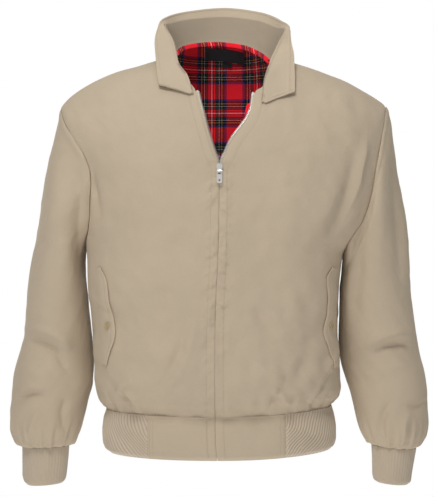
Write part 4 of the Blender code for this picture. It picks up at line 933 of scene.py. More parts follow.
def armhole_loop(side, places):
    """Armhole round its edge: 0 at the shoulder tip, 0.25 behind, 0.5 underarm, 0.75 in front.

    Gives the points on the panels, their normals, and the direction across the seam.
    """
    around = np.mod(places, 1.0)
    behind = around <= 0.5
    up = np.where(behind, 1 - (1 - UNDERARM_AT) * around / 0.5,
                  UNDERARM_AT + (1 - UNDERARM_AT) * (around - 0.5) / 0.5)
    points, normals = np.zeros((2, len(around), 3))
    for face, mask in ((-1, behind), (1, ~behind)):
        t = up[mask]
        s = np.full_like(t, side if face < 0 else 1.0)
        points[mask], normals[mask] = on_seam(face, side, s, t, s - SEAM_STEP * np.sign(s), s)
    across = unit(np.cross(np.roll(points, -1, 0) - np.roll(points, 1, 0), normals))
    return points, normals, across * np.sign((across * (points.mean(0) - points)).sum(-1))[:, None]


def sleeve_relief(side, p, around, along):
    """Folds, gathers at the cuff, a raised sleeve head, and a slight unevenness."""
    x, z = p[..., 0], p[..., 2]
    turn = 2 * np.pi * around
    total = np.zeros(along.shape)
    for face, line, height, low, high, roundness in FOLDS_SLEEVE[side]:
        mask = smoothstep(0.25, -0.25, np.sin(turn) * face)
        total += mask * FOLD_STRENGTH * fold(line, height, low, high, roundness, x, z)
    total *= smoothstep(0.0, 0.05, along)
    wave = waves(around, 4 * along, (15, 0.6, 0.3), (23, 0.45, 2.0), (37, 0.25, 4.0))
    last = smoothstep(0.87, 0.985, along)
    total += MM * 1.9 * wave * last * (1 - 0.75 * smoothstep(0.988, 1.0, along))
    run = along * SLEEVE_LENGTH
    total += bell(run - 7 * MM, 6 * MM) * MM * 1.3 * smoothstep(-0.30, -0.18, z)
    total -= 0.6 * MM * bell(run, 2.5 * MM)
    c, s = ARM_RADIUS * np.cos(turn), ARM_RADIUS * np.sin(turn)
    total += MM * 1.4 * uneven(c + z, s * 1.4, 0.055, 61 + side)
    total += MM * 0.6 * uneven(c * 1.5 + z * 1.4, s * 2, 0.024, 71 + side)
    return total


def sleeve_grid(side):
    """Grid from the allowance inside the armhole down to the cuff, and the middle of each row."""
    around = np.arange(168) / 168
    along = np.r_[np.linspace(0, 0.04, 12)[:-1], np.linspace(0.04, 0.88, 190)[:-1],
                  np.linspace(0.88, 1.0, 44)]
    loop, normals, across = armhole_loop(side, around)
    tables = ring_tables(SLEEVE[side])
    u, v = np.meshgrid(around, along)
    stay = 1 - smoothstep(0, SLEEVE_SETTLES, v)
    start = loop + (across + normals) * GAP
    p = ring_point(tables, u, v)
    p = p + (start - ring_point(tables, u, np.zeros_like(v))) * stay[..., None]
    middle = p.mean(1, keepdims=True)
    n = outward(grid_normals(p, True), p, middle)
    above = smoothstep(-0.22, -0.12, p[0, :, 2])[:, None]
    n[0] = normals * above + n[0] * (1 - above)
    p = p + n * sleeve_relief(side, p, u, v)[..., None]
    bulge = 0.5 + 0.5 * np.sin(2 * np.pi * 9 * u + 1.3 * side) * np.cos(2 * np.pi * 4 * u + 0.7)
    p[..., 2] -= MM * 5 * bulge * bell(v - 0.982, 0.011)
    p = beside_body(side, p, BESIDE_BODY * smoothstep(0.0, 0.04, v))
    allowance = loop - normals * 1.9 * MM + across * 1.5 * MM
    return np.concatenate([allowance[None], p]), np.concatenate([middle[:1], middle])


def sleeve(word, side, material):
    """Sleeve: ellipses down the arm that start as the armhole, with folds along their normal."""
    points, middle = sleeve_grid(side)
    made = shell(f"sleeve_{word}_cloth", points, CLOTH, material, closed=True, facing=middle)
    dress(made, "poplin", "sleeve_" + word, flat=(0.48, 0.62), area=0.235, held="draped",
          rests_on=["cuff_knit_" + word])


def rib_height(places, count):
    """Rounded ribs with narrow grooves: 1 on top of a rib, 0 between two."""
    return (np.sqrt(np.sin(np.pi * places * count) ** 2 + 0.04) - 0.2) / 0.82


def cuff(word, side, material):
    """Cuff: ellipses down the wrist, with ribs from the root of a squared sine."""
    tables = ring_tables(CUFF[side])
    around = np.arange(CUFF_RIBS * 8) / (CUFF_RIBS * 8)
    u, v = np.meshgrid(around, np.linspace(GAP / CUFF_LENGTH, 1, 30))
    bend = 0.0024 * np.sin(5 * np.pi * v + 2 * np.pi * u) * v
    p = ring_point(tables, u + bend, v)
    away = unit(p - ring_point(tables, u + 0.5, v))
    ends = 1 - 0.55 * smoothstep(0.93, 1.0, v) - 0.3 * smoothstep(0.06, 0.0, v)
    pulled = 0.2 * uneven(u * 0.3, v * 0.06, 0.02, 83 + side)
    lift = RIB_RISE * (0.35 * rib_height(u, CUFF_RIBS) * ends + pulled)
    points = p + away * lift[..., None]
    # painted shade: u is held at one place of the rib pattern, where the knit's painted groove
    # shade darkens the whole cuff a little
    uv = np.stack([np.full(u.shape, RIB_PITCH * 0.15), lengths_along(points, 0)], -1)
    made = shell("cuff_knit_" + word, points, RIB_KNIT, material, closed=True, uv=uv,
                 facing=p.mean(1, keepdims=True))
    dress(made, "rib_knit", "cuff_" + word, flat=(0.24, 0.064), held="stretched",
          rests_on=[f"sleeve_{word}_cloth"])


# ---------------------------------------------------------------- waistband

def waistband_rib(material):
    """Knit from one woven end round the back to the other; its ribs lean in at the hem."""
    places = np.linspace(0, 1, WAIST_RIBS * 8 + 1)
    heights = np.linspace(WAIST_Z * MM - GAP, HEM_Z * MM, 42)
    lines = []
    for z in heights:
        ring = waist_ring(z)
        x, y, _ = ring.T
        ring = ring[(x < WAIST_END[-1] * MM - GAP) | (y > 0) | (x > WAIST_END[1] * MM + GAP)]
        length = run_length(ring)
        lines.append(sampled(places * length[-1], length, ring))
    base = np.stack(lines)
    tangent = np.gradient(base, axis=1)
    away = unit(np.stack([-tangent[..., 1], tangent[..., 0], 0 * tangent[..., 0]], -1))
    away *= np.sign((away[..., :2] * base[..., :2]).sum(-1))[..., None]
    u, v = np.meshgrid(places, np.linspace(0, 1, len(heights)))
    lean = bell(u, 0.13) - bell(1 - u, 0.13)
    leaning = u + KNIT_LEAN / length[-1] * (v ** 1.4 + 0.05 * np.sin(9 * v + 40 * u)) * lean
    ends = 1 - 0.6 * smoothstep(0.93, 1.0, v) - 0.4 * smoothstep(0.06, 0.0, v)
    pull = 0.9 * uneven(u * 1.2, v * 0.07, 0.03, 91) * np.sin(np.pi * v)
    under = smoothstep(0.0, 0.006, np.minimum(u, 1 - u))
    height = (RIB_RISE * rib_height(leaning, WAIST_RIBS) * ends + MM * 0.6 * pull) * under
    points = base + away * (height - 0.5 * MM * (1 - under))[..., None]
    uv = np.stack([leaning * WAIST_RIBS * RIB_PITCH, lengths_along(points, 0)], -1)
    made = shell("waistband_knit", points, RIB_KNIT, material, facing=(0, 0, -0.6), every=8, uv=uv)
    dress(made, "rib_knit", "waistband_rib", flat=(0.78, 0.073), held="stretched",
          rests_on=["back_cloth", "front_right_cloth", "front_left_cloth"])


def waistband_front(word, side, material):
    """Woven end of the waistband: the form, less bell-shaped grooves and rounded edges."""
    end = (WAIST_END[side] + side * 2) * MM
    s, t = np.meshgrid(np.r_[0, 0.012, np.linspace(0.03, 1, 90)], np.linspace(0, 1, 46))
    z = WAIST_Z * MM - GAP + (HEM_Z - WAIST_Z) * MM * t
    start = centre_front(z) + side * GAP / 2
    x = start + (end - start) * s
    off = np.abs(x - start)
    ripple = 0.45 * uneven(x, z * 0.35, 0.012, 95 + side) * np.sin(np.pi * t)
    sunk = (0.3 * bell(off - 13 * MM, 1.3 * MM) + 0.35 * bell(t * 70 - 3.0, 1.2)
            + 0.9 * bell(off, 1.1 * MM) + 0.5 * bell((1 - t) * 70, 1.0)
            + 1.4 * bell(end - x, 1.6 * MM))
    points = on_body(1, x, z) + body_normal(1, x, z) * (MM * (ripple - sunk))[..., None]
    made = shell("waistband_woven_" + word, points, CLOTH + WAIST_LAYERS, material,
                 facing=(0, 0, -0.6))
    dress(made, "poplin", "waistband_front_" + word, flat=(0.115, 0.073), held="folded",
          rests_on=["waistband_knit"])


# ---------------------------------------------------------------- collar

def neck_seam(place):
    """Point and normal on the neck seam at places -1 (right end) through 0 (nape) to 1."""
    points, normals = np.zeros((2, len(place), 3))
    for face, side, mask in ((1, -1, place < -0.5), (-1, 0, np.abs(place) <= 0.5),
                             (1, 1, place > 0.5)):
        at = place[mask]
        if face > 0:
            s, t = 0 * at, 1 - (np.abs(at) - 0.5) / 0.5 * (1 - COLLAR_END_AT)
        else:
            s, t = at / 0.5 * np.where(at < 0, NECK_CORNER[-1], NECK_CORNER[1]), 1 + 0 * at
        low = np.maximum(s - SEAM_STEP, -1 if face < 0 else 0)
        points[mask], normals[mask] = on_seam(face, side, s, t, low, s + SEAM_STEP)
    return points, normals


def neck_corner(side):
    dense = np.linspace(0, 1, 400)
    x, _ = half_panel(-1, side, dense, np.ones_like(dense))
    return float(np.interp(1.0, neck_place(x), dense))


NECK_CORNER = {side: neck_corner(side) for side in (-1, 1)}


def collar_grid(place, rows):
    """Middle surface of the collar: up the stand, over the roll, out along the leaf."""
    stations, *table = np.asarray(COLLAR, float).T
    roll, edge = (np.stack([smooth(stations, values * MM, place) for values in part], -1)
                  for part in (table[:3], table[3:]))
    base, normals = neck_seam(place)
    across = unit(np.cross(np.gradient(base, axis=0), normals))
    across *= np.sign(across[:, 2] + 0.3)[:, None]
    start = base + (across + normals) * GAP
    turned = smoothstep(0.42, 0.62, np.abs(place))[:, None]
    aside = unit((edge - roll) * (1, 1, 0.3))
    lift = np.array((0.0, 0.0, 1.0))
    stand = roll - ROLL_RADIUS * (turned * (aside * 0.9 + lift * 0.6)
                                  + (1 - turned) * unit(roll - start))
    fall = roll + ROLL_RADIUS * (turned * (aside * 0.9 - lift * 0.6)
                                 + (1 - turned) * unit(edge - roll))
    lines = np.stack([start, start + (stand - start) * 0.45 + aside * MM, stand, roll,
                      fall, fall + (edge - fall) * 0.5, edge])
    for k in range(1, len(lines)):
        x, y, z = lines[k].T
        limit = body_y(1, x, z) - (LEAF_LIFT * (0.5 if k == 1 else 1.0) + COLLAR_CLOTH / 2)
        lines[k, :, 1] = np.where(np.abs(place) > 0.6, np.minimum(y, limit), y)
    return loft(lines, COLLAR_LINES, rows)


def collar(material, inside):
    """Collar: half its thickness on the middle surface, a ripple, less stitch row and rim."""
    fine = np.linspace(0.935, 1, 30)
    place = np.r_[-fine[::-1], np.linspace(-0.935, 0.935, 281)[1:-1], fine]
    rows = np.r_[np.linspace(0, 0.42, 16)[:-1], np.linspace(0.42, 0.58, 13)[:-1],
                 np.linspace(0.58, 0.85, 12)[:-1], np.linspace(0.85, 1, 20)]
    grid = collar_grid(place, rows)
    normals = grid_normals(grid)
    inward = normals[3, len(place) // 2, 1] < 0
    if inward:
        normals = -normals
    w, v = np.meshgrid(place, rows)
    ends = 1 - np.abs(w)
    run, up = w * NECK_RUN, v * 0.06
    ripple = uneven(run, up, 0.035, 101) * 0.7 + uneven(run, up, 0.014, 103) * 0.3
    leaf = smoothstep(0.60, 0.72, v)
    below, beside = (1 - v) * 62, ends * 300  # from the edge and from the ends (mm)
    stitched = np.exp(-(below - 6.0) ** 2 / 1.4) + leaf * np.exp(-(beside - 6.0) ** 2 / 1.6)
    height = MM * (0.5 * ripple * np.sin(np.pi * v) * smoothstep(0.0, 0.06, ends)
                   - 0.85 * stitched - 0.6 * (bell(below, 1.0) + leaf * bell(beside, 1.2)))
    points = grid + normals * (COLLAR_CLOTH / 2 * smoothstep(0, 0.05, v) + height)[..., None]
    base, out = neck_seam(place)
    across = unit(np.cross(np.gradient(base, axis=0), out))
    allowance = base - across * np.sign(across[:, 2:] + 1e-6) * 4 * MM - out * 1.7 * MM
    points = np.concatenate([allowance[None], points])
    if inward:
        points = points[:, ::-1]
    made = shell("collar_cloth", points, COLLAR_CLOTH, material, every=1, facing=None)
    # painted shade: inside is a darker copy of the poplin, put on the stand's faces below for the
    # shade inside the collar
    made.data.materials.append(inside)
    below = np.repeat((rows < 0.475).astype(np.int32), len(place) - 1)
    number = np.zeros(len(made.data.polygons), np.int32)
    number[:2 * len(below)] = np.tile(below, 2)
    made.data.polygons.foreach_set("material_index", number)
    dress(made, "poplin", "collar", flat=(0.52, 0.066), held="folded",
          rests_on=["back_cloth", "front_right_cloth", "front_left_cloth"])


# ---------------------------------------------------------------- lining and labels

def tartan_uv(points, pale_z=TARTAN_PALE[1], shift=0.0):
    """UV in metres from where the sett's pale stripes cross, level lines running level."""
    pale_x = TARTAN_PALE[0] * MM
    u = lengths_along(points[..., :2], 1)
    start = []
    for x, along in zip(points[..., 0], u):
        order = np.argsort(x)
        start.append(np.interp(pale_x, x[order], along[order]))
    middle = points[:, np.abs(points[0, :, 0] - pale_x).argmin(), 1:]
    order = np.argsort(middle[:, 1])
    height, run = middle[order, 1], run_length(middle)[order]
    v = np.interp(points[..., 2], height, run) - np.interp(pale_z * MM, height, run)
    return np.stack([u - np.array(start)[:, None] + shift * MM, v], -1)


def lining_grid(face, side, columns, rows):
    """A panel sunk by the depth of its lining, which follows 0.6 of the relief."""
    return panel_grid(face, side, columns, rows, -LINING_DEEP - LINING, False, 0.6)[0]


def lining_back(material):
    """Back lining: the back panel's form, sunk, in the tartan's own metres."""
    points = lining_grid(-1, 0, np.linspace(-0.93, 0.93, 151), np.linspace(0.02, 0.999, 141))
    made = shell("lining_back_cloth", points, LINING, material, away=False, uv=tartan_uv(points))
    dress(made, "tartan", "lining_back", flat=(0.64, 0.64), area=0.35, held="laid",
          rests_on=["back_cloth"])


def lining_front(word, side, material):
    """Front lining; on the wearer's left it rolls out past the zip in the open neck."""
    name = "lining_front_" + word
    columns = np.linspace(0.02, 0.93, 70)
    points = lining_grid(1, side, columns, np.linspace(0.02, 0.93, 200))
    z = points[..., 2]
    roll = smoothstep(-0.150, -0.132, z) * (1 - smoothstep(-0.080, -0.066, z))
    near = 1 - smoothstep(0.0, 0.3, np.broadcast_to(columns, z.shape))
    shows = (TAPE_SHOWS + 12.0) * MM * roll * near * (side > 0)
    points[..., 0] -= side * shows
    points[..., 1] += 0.4 * shows
    made = shell(name + "_cloth", points, LINING, material, away=False,
                 uv=tartan_uv(points, TARTAN_FRONT, 36.0))
    dress(made, "tartan", name, flat=(0.28, 0.60), area=0.135, held="laid",
          rests_on=[f"front_{word}_cloth"])


def neck_binding(material):
    """Strip over the neck seam inside: from the lining up onto the collar, red all along."""
    place = np.linspace(-0.5, 0.5, 161)
    base, out = neck_seam(place)
    seam, above = collar_grid(place, np.array([0.0, 0.06]))
    up = unit(above - seam)
    inner = unit(out - up * (out * up).sum(1, keepdims=True))
    low = base - out * (LINING_DEEP + LINING + 0.5 * MM)
    stand = COLLAR_CLOTH / 2 + 0.5 * MM
    lines = [low - up * 1.6 * MM, low - up * 0.4 * MM,
             seam - inner * (stand + 0.8 * MM), seam - inner * stand + up * 0.9 * MM]
    at = np.linspace(0, 3, 14)
    grid = loft(lines, np.arange(4), at)
    u = lengths_along(grid, 1)
    u = u - u[:, np.abs(grid[0, :, 0] - TARTAN_PALE[0] * MM).argmin()][:, None]
    uv = np.stack([u, np.broadcast_to(SETT_HALF[1] + (at[:, None] - 2) * MM, u.shape)], -1)
    made = shell("neck_binding", grid, 0.6 * MM, material, away=False, uv=uv)
    dress(made, "tartan", flat=(0.22, 0.010), held="folded",
          rests_on=["lining_back_cloth", "collar_cloth"])


def neck_piece(name, columns, rows, size, material):
    """Label or tab on the lining below the nape, one end lower than the other."""
    s, t = np.meshgrid(np.linspace(*columns, 60), np.linspace(*rows, 18))
    place = t - LABEL_TURN * s
    x, z = panel_base(-1, 0, s, place)
    base = on_body(-1, x, z)
    n = outward(grid_normals(base), base)
    deep = LINING_DEEP + LINING + LABEL_LAY + LABEL_CLOTH + 0.35 * MM * bell(t - rows[0], 0.004)
    height = relief(-1, x, z) * smoothstep(0.0, 0.05, 1 - place) - deep
    made = shell(name + "_cloth", base + n * height[..., None], LABEL_CLOTH, material, away=False)
    dress(made, "label", name, flat=size, held="laid", rests_on=["lining_back_cloth"])


# ---------------------------------------------------------------- pockets

def flap_place(side, s, t):
    """Place on a pocket flap: s 0 where it is sewn on, 1 at its free edge; t 0 at the top."""
    table = metres(FLAP[side]).T
    ax, az, bx, bz = (smooth(np.linspace(0, 1, len(values)), values, t) for values in table)
    return ax + (bx - ax) * s, az + (bz - az) * s


def flap_height(side, s, t, x, z):
    """Height of a flap's cloth: it bows out from the front and ripples a little."""
    bow = 1.5 * MM * np.sin(np.pi * s * 0.8) * np.sin(np.pi * t) ** 0.5
    ripple = 0.5 * MM * uneven(z, x, 0.016, 120 + side) * np.sin(np.pi * t)
    return FLAP_LIFT + FLAP_CLOTH + bow + ripple


def pocket_flap(word, side, material):
    """Pocket flap: the front's cloth with a bow of sines, less its stitch row and rounded rim."""
    name = "pocket_flap_" + word
    s, t = np.meshgrid(np.linspace(0, 1, 30), np.linspace(0, 1, 120))
    x, z = flap_place(side, s, t)
    rim = bell((1 - s) * 16, 1.0) + bell(t * 150, 1.0) + bell((1 - t) * 150, 1.0)
    sunk = 0.5 * rim + 0.3 * bell((1 - s) * 16 - 3.5, 0.9)
    points = body_skin(1, x, z, flap_height(side, s, t, x, z) - MM * sunk)
    made = shell(name + "_cloth", points, FLAP_CLOTH, material, facing=(0, 0, -0.45), every=2)
    dress(made, "poplin", name, flat=(0.155, 0.030), area=0.0040, held="folded",
          rests_on=[f"front_{word}_cloth"])


def surface_frame(x, z, out):
    """Point, outward normal, and level and upward directions on the front's cloth."""
    one = np.ones(1)
    p, above = (body_skin(1, x * one, z * one, h * one)[0] for h in (out, out + MM))
    n = unit(above - p)
    level = unit(np.cross(n, (0, 0, 1.0)))
    return p, n, level, np.cross(level, n)


def pocket_button(word, side, button, thread):
    """Turned button: its profile spun round the flap's normal, with thread through its eyes."""
    x, z = metres(FLAP_BUTTON[side])
    p, n, level, up = surface_frame(x, z, FLAP_LIFT + FLAP_CLOTH + 1.5 * MM)
    profile = path(BUTTON_PROFILE, 40, 1)[1:-1, None] * MM
    turn = 2 * np.pi * np.arange(40)[:, None] / 40
    ring = level * np.cos(turn) + up * np.sin(turn)
    grid = p + profile[..., :1] * ring + n * profile[..., 1:]
    verts = grid.reshape(-1, 3)
    name = "pocket_button_" + word
    faces = tube_faces(*grid.shape[:2])
    dress(make_mesh(name + "_turned", verts, faces, verts[:, ::2], button, 40), "button", name)
    top = p + n * 1.9 * MM
    bars = [(top + (level * a + up) * MM, top + (level * a - up) * MM) for a in (-0.9, 0.9)]
    dress(capsules("button_thread_" + word, bars, n, 0.36 * MM, thread), "poplin")


# ---------------------------------------------------------------- stitching

def capsules(name, pairs, normals, radius, material):
    """Short rounded threads from point to point: six corners round, pinched at both ends."""
    start, stop = np.asarray(pairs, float).swapaxes(0, 1)
    run = stop - start
    level = unit(np.cross(run, np.broadcast_to(normals, run.shape)))
    up = np.cross(level, unit(run))
    turn = 2 * np.pi * np.arange(6)[:, None] / 6
    ring = (level[:, None] * np.cos(turn) + up[:, None] * np.sin(turn)) * radius
    rings = [(start + run * share)[:, None] + ring * width
             for share, width in ((0.0, 0.45), (0.2, 1.0), (0.8, 1.0), (1.0, 0.45))]
    verts = np.stack(rings, 1).reshape(-1, 3)
    faces = tube_faces(4, 6, len(start))
    return make_mesh(name, verts, faces, verts[:, ::2], material, 80)


def stitch_row(points, normals, pitch, length):
    """Pairs of ends of stitches along a line, and the normals there."""
    run = run_length(points)
    starts = np.arange(pitch / 2, run[-1] - length, pitch)
    ends = [sampled(at, run, points) for at in (starts, starts + length)]
    return np.stack(ends, 1), sampled(starts, run, normals)


def placket_row(side):
    """The row of stitches beside the zip edge, from above the waist to below the collar."""
    points, normals = panel_grid(1, side, np.linspace(0, 0.16, 40),
                                 np.linspace(0.0, OPEN_TOP_AT, 260))
    line = np.stack([sampled(PLACKET, run, row)
                     for run, row in zip(lengths_along(points, 1), points)])
    keep = (line[:, 2] > -0.57) & (line[:, 2] < -0.03)
    up = normals[keep, 3]
    return line[keep] + up * 0.1 * MM, up


def collar_rows():
    """Stitch rows 6 mm inside the collar's edge and ends, on both of its sides."""
    grid = collar_grid(np.linspace(-0.966, 0.966, 400), np.array([0.86, 0.905, 0.95]))
    normals = grid_normals(grid)[1]
    if normals[200, 1] < 0:
        normals = -normals
    half = COLLAR_CLOTH / 2
    made = [(grid[1] + normals * (half - 0.12 * MM), normals), (grid[1] - normals * half, -normals)]
    for end in (-0.98, 0.98):
        strip = collar_grid(np.array([end - 0.004, end, end + 0.004]), np.linspace(0.66, 0.885, 30))
        up = grid_normals(strip)[:, 1]
        up = up * np.sign(up[15, 1])
        made += [(strip[:, 1] - up * half, -up), (strip[:, 1] + up * (half - 0.12 * MM), up)]
    return made


def flap_row(side):
    """Stitch row inside the pocket flap's free edge."""
    t = np.linspace(0.03, 0.97, 90)
    s = np.full_like(t, 0.76)
    x, z = flap_place(side, s, t)
    height = flap_height(side, s, t, x, z)
    low = body_skin(1, x, z, height - 0.1 * MM)
    return low, unit(body_skin(1, x, z, height + 0.9 * MM) - low)


def waist_end_rows(side):
    """Two stitch rows at the end of the woven waistband, and one beside the zip."""
    end = WAIST_END[side] * MM
    z = np.linspace((WAIST_Z - 4) * MM, (HEM_Z + 2) * MM, 60)
    made = []
    for x in (end - side * 2.5 * MM, end - side * 8 * MM, centre_front(z) + side * PLACKET):
        x = np.broadcast_to(x, z.shape)
        n = body_normal(1, x, z)
        made.append((on_body(1, x, z) + n * 0.1 * MM, n))
    return made


# ---------------------------------------------------------------- zip

def zip_line(side, count=420):
    """Zip edge from the hem to the neck: points, directions away and out, open share."""
    t = np.linspace(0.0, OPEN_TOP_AT - 0.004, count)
    points, normals = panel_grid(1, side, np.linspace(0, 0.03, 6), t)
    z = np.linspace((HEM_Z + 3) * MM, (WAIST_Z - 1) * MM, count // 8)
    front = np.array((0.0, -1.0, 0.0))
    low = on_body(1, centre_front(z) + side * GAP / 2, z) - front * WAIST_LAYERS
    edge = np.concatenate([low, points[:, 0]])
    away = unit(np.concatenate([np.broadcast_to((-side, 0.0, 0.0), low.shape),
                                points[:, 0] - points[:, 4]]))
    out = np.concatenate([np.broadcast_to(front, low.shape), normals[:, 2]])
    return edge, away, out, smoothstep(-0.178, -0.162, edge[:, 2:])


def zip_tape(word, side, material):
    """Woven tape behind the zip edge; above the slider it shows past the cloth."""
    edge, away, out, opened = zip_line(side, 260)
    first = TAPE_SHOWS * MM * opened - GAP / 2 * (1 - opened)
    last = -TAPE_HIDDEN * MM
    span = (first[:, None] - last) * np.linspace(1, 0, 12)[:, None] + last
    points = edge[:, None] + away[:, None] * span - out[:, None] * (CLOTH + LAY)
    name = "zip_tape_" + word
    made = shell(name + "_woven", points, TAPE, material, facing=(0, 0.3, -0.3))
    dress(made, "zip_tape", name, flat=(0.015, 0.60), held="stretched",
          rests_on=[f"front_{word}_cloth"])


def teeth(word, side, material):
    """Metal teeth on the tape's edge: each is a small block narrowing to its tip."""
    edge, away, out, opened = zip_line(side)
    run = run_length(edge)
    at = np.arange(TOOTH_PITCH * (0.5 if side < 0 else 1.0), run[-1] - TOOTH_PITCH, TOOTH_PITCH)
    place, aside, up, share, along = (
        sampled(at, run, values) for values in (edge, away, out, opened, np.gradient(edge, axis=0)))
    along = unit(along)
    root = (place + aside * MM * (share * (TAPE_SHOWS - 1.6) + (1 - share) * -1.9)
            - up * (CLOTH + LAY + 0.5 * TAPE - 0.9 * MM * share))
    corners = [root + (aside * reach + along * a * half_long + up * b * half_thick) * MM
               for reach, half_long, half_thick in TOOTH
               for a, b in ((-1, -1), (1, -1), (1, 1), (-1, 1))]
    verts = np.stack(corners, 1).reshape(-1, 3)
    faces = tube_faces(3, 4, len(at))
    if side > 0:
        faces = [face[::-1] for face in faces]
    made = make_mesh("zip_teeth_" + word, verts, faces, verts[:, ::2], material, 30)
    dress(made, "zip_metal")


# ---------------------------------------------------------------- materials

def shade(code, factor):
    """The same hex colour, lighter or darker by a factor."""
    parts = [min(255, round(int(code[k:k + 2], 16) * factor)) for k in (0, 2, 4)]
    return "".join(f"{part:02X}" for part in parts)


def colour(code, factor=1.0):
    """Linear RGBA of a screen colour written as six hex digits, made lighter by a factor."""
    code = shade(code, factor)
    parts = [int(code[k:k + 2], 16) / 255 for k in (0, 2, 4)]
    return (*(c / 12.92 if c <= 0.04045 else ((c + 0.055) / 1.055) ** 2.4 for c in parts), 1.0)


class Nodes:
    """One material's node tree; add() makes a node with its settings and links."""

    def __init__(self, name, code, rough, metallic=0.0):
        self.code = code
        self.material = bpy.data.materials.new(name)
        self.material.use_nodes = True
        self.tree = self.material.node_tree
        self.shader = self.tree.nodes["Principled BSDF"]
        self.set({"Base Color": colour(code), "Roughness": rough, "Metallic": metallic})

    def add(self, kind, inputs=None, **settings):
        made = self.tree.nodes.new(kind)
        for name, value in settings.items():
            setattr(made, name, value)
        for name, value in (inputs or {}).items():
            self.put(made.inputs[name], value)
        return made

    def put(self, socket, value):
        if isinstance(value, bpy.types.NodeSocket):
            self.tree.links.new(value, socket)
        else:
            socket.default_value = value

    def set(self, inputs):
        for name, value in inputs.items():
            self.put(self.shader.inputs[name], value)

    def math(self, operation, *values):
        return self.add("ShaderNodeMath", dict(enumerate(values)), operation=operation).outputs[0]

    def mix(self, share, low, high, blend="MIX"):
        inputs = {"Factor": share, 6: low, 7: high}
        return self.add("ShaderNodeMix", inputs, data_type="RGBA", blend_type=blend).outputs[2]

    def tones(self, share, low, high):
        """The material's own colour between two shades of it."""
        return self.mix(share, colour(self.code, low), colour(self.code, high))

    def uv(self):
        place = self.add("ShaderNodeUVMap", uv_map="metres").outputs[0]
        return self.add("ShaderNodeSeparateXYZ", {0: place}).outputs[:2]

    def noise(self, size, detail=2.0, rough=0.5):
        """Noise in Object coordinates whose patches are about size metres across."""
        inputs = {"Vector": self.add("ShaderNodeTexCoord").outputs["Object"], "Scale": 1 / size,
                  "Detail": detail, "Roughness": rough}
        return self.add("ShaderNodeTexNoise", inputs).outputs["Fac"]

    def wave(self, along, pitch):
        """Sine from 0 to 1 that repeats every pitch metres."""
        turn = self.math("MULTIPLY", along, 2 * math.pi / pitch)
        return self.math("MULTIPLY_ADD", self.math("SINE", turn), 0.5, 0.5)

    def bump(self, height, distance, strength, under=None):
        inputs = {"Height": height, "Distance": distance, "Strength": strength}
        if under is not None:
            inputs["Normal"] = under
        return self.add("ShaderNodeBump", inputs).outputs[0]


def stone_poplin(name, code):
    """Poplin: fine plain weave that scatters light evenly, with a faint sheen and soft bloom."""
    n = Nodes(name, code, 0.80)
    u, v = n.uv()
    weave = n.math("MULTIPLY", n.wave(u, 0.50 * MM), n.wave(v, 0.62 * MM))
    slub = n.noise(3 * MM, 3.0)
    height = n.math("MULTIPLY_ADD", slub, 0.6, weave)
    # sharp soft-ended creases: noise folded at its middle, so that it comes to a ridge there
    ridge = n.math("ABSOLUTE", n.math("MULTIPLY_ADD", n.noise(60 * MM, 2.0, 0.4), 2.0, -1.0))
    crease = n.math("POWER", n.math("SUBTRACT", 1.0, ridge), 4.0)
    crumple = n.math("MULTIPLY_ADD", n.noise(22 * MM, 3.0), 1.6, crease)
    normal = n.bump(height, 0.06 * MM, 0.5, n.bump(crumple, 1.2 * MM, 0.4))
    # broad patches a little lighter or darker, as washed cotton has
    light = n.tones(n.noise(70 * MM), 0.962, 1.03)
    fine = n.mix(n.math("MULTIPLY", slub, 0.30), light, colour(code, 0.90))
    n.set({"Normal": normal, "Base Color": fine, "Sheen Weight": 0.22, "Sheen Roughness": 0.45,
           "Sheen Tint": colour("FFF3E0"), "Specular IOR Level": 0.28})
    return n.material


def rib_wool(name, code):
    """Rib knit: soft matt yarn whose loops break each rib into small v shapes."""
    n = Nodes(name, code, 0.88)
    u, v = n.uv()
    loops = n.wave(v, 1.5 * MM)
    height = n.math("MULTIPLY_ADD", n.noise(0.9 * MM, 3.0), 0.7, loops)
    normal = n.bump(height, 0.18 * MM, 0.5)
    yarn = n.tones(n.noise(40 * MM), 0.955, 1.03)
    # painted shade: u counts ribs, and the grooves between them are painted darker
    top = n.wave(n.math("ADD", u, -RIB_PITCH / 4), RIB_PITCH)
    painted_groove_shade = n.math("POWER", n.math("SUBTRACT", 1.0, top), 2.5)
    n.set({"Normal": normal, "Base Color": n.mix(painted_groove_shade, yarn, colour(code, 0.86)),
           "Sheen Weight": 0.30, "Sheen Roughness": 0.5, "Specular IOR Level": 0.2})
    return n.material


def tartan_cotton(name, yarns):
    """Brushed tartan cotton: two sets of striped yarns crossing in a twill, with a soft nap."""
    n = Nodes(name, yarns["red"], 0.9)
    u, v = n.uv()
    threads = sum(count for _, count in SETT)
    stripes = []
    for along, half in zip((u, v), SETT_HALF):
        place = n.math("DIVIDE", n.math("PINGPONG", along, half), half)
        ramp = n.add("ShaderNodeValToRGB", {"Fac": place})
        ramp.color_ramp.interpolation = "CONSTANT"
        stops = ramp.color_ramp.elements
        at = 0.0
        for k, (yarn, count) in enumerate(SETT):
            stop = stops[k] if k < 2 else stops.new(at / threads)
            stop.position = at / threads
            stop.color = colour(yarns[yarn])
            at += count
        stripes.append(ramp.outputs["Color"])
    twill = n.wave(n.math("ADD", u, v), 0.9 * MM)
    woven = n.mix(n.math("GREATER_THAN", twill, 0.5), *stripes)
    # painted shade: the colour is taken 0.45 of the way to the darker of the two yarns, for the
    # shade in the hollows between the yarns
    cloth = n.mix(0.45, woven, n.mix(1.0, *stripes, "DARKEN"))
    nap = n.math("ADD", n.noise(1.2 * MM, 3.0), twill)
    n.set({"Base Color": cloth, "Normal": n.bump(nap, 0.12 * MM, 0.5), "Sheen Weight": 0.12,
           "Sheen Roughness": 0.5, "Specular IOR Level": 0.1})
    return n.material


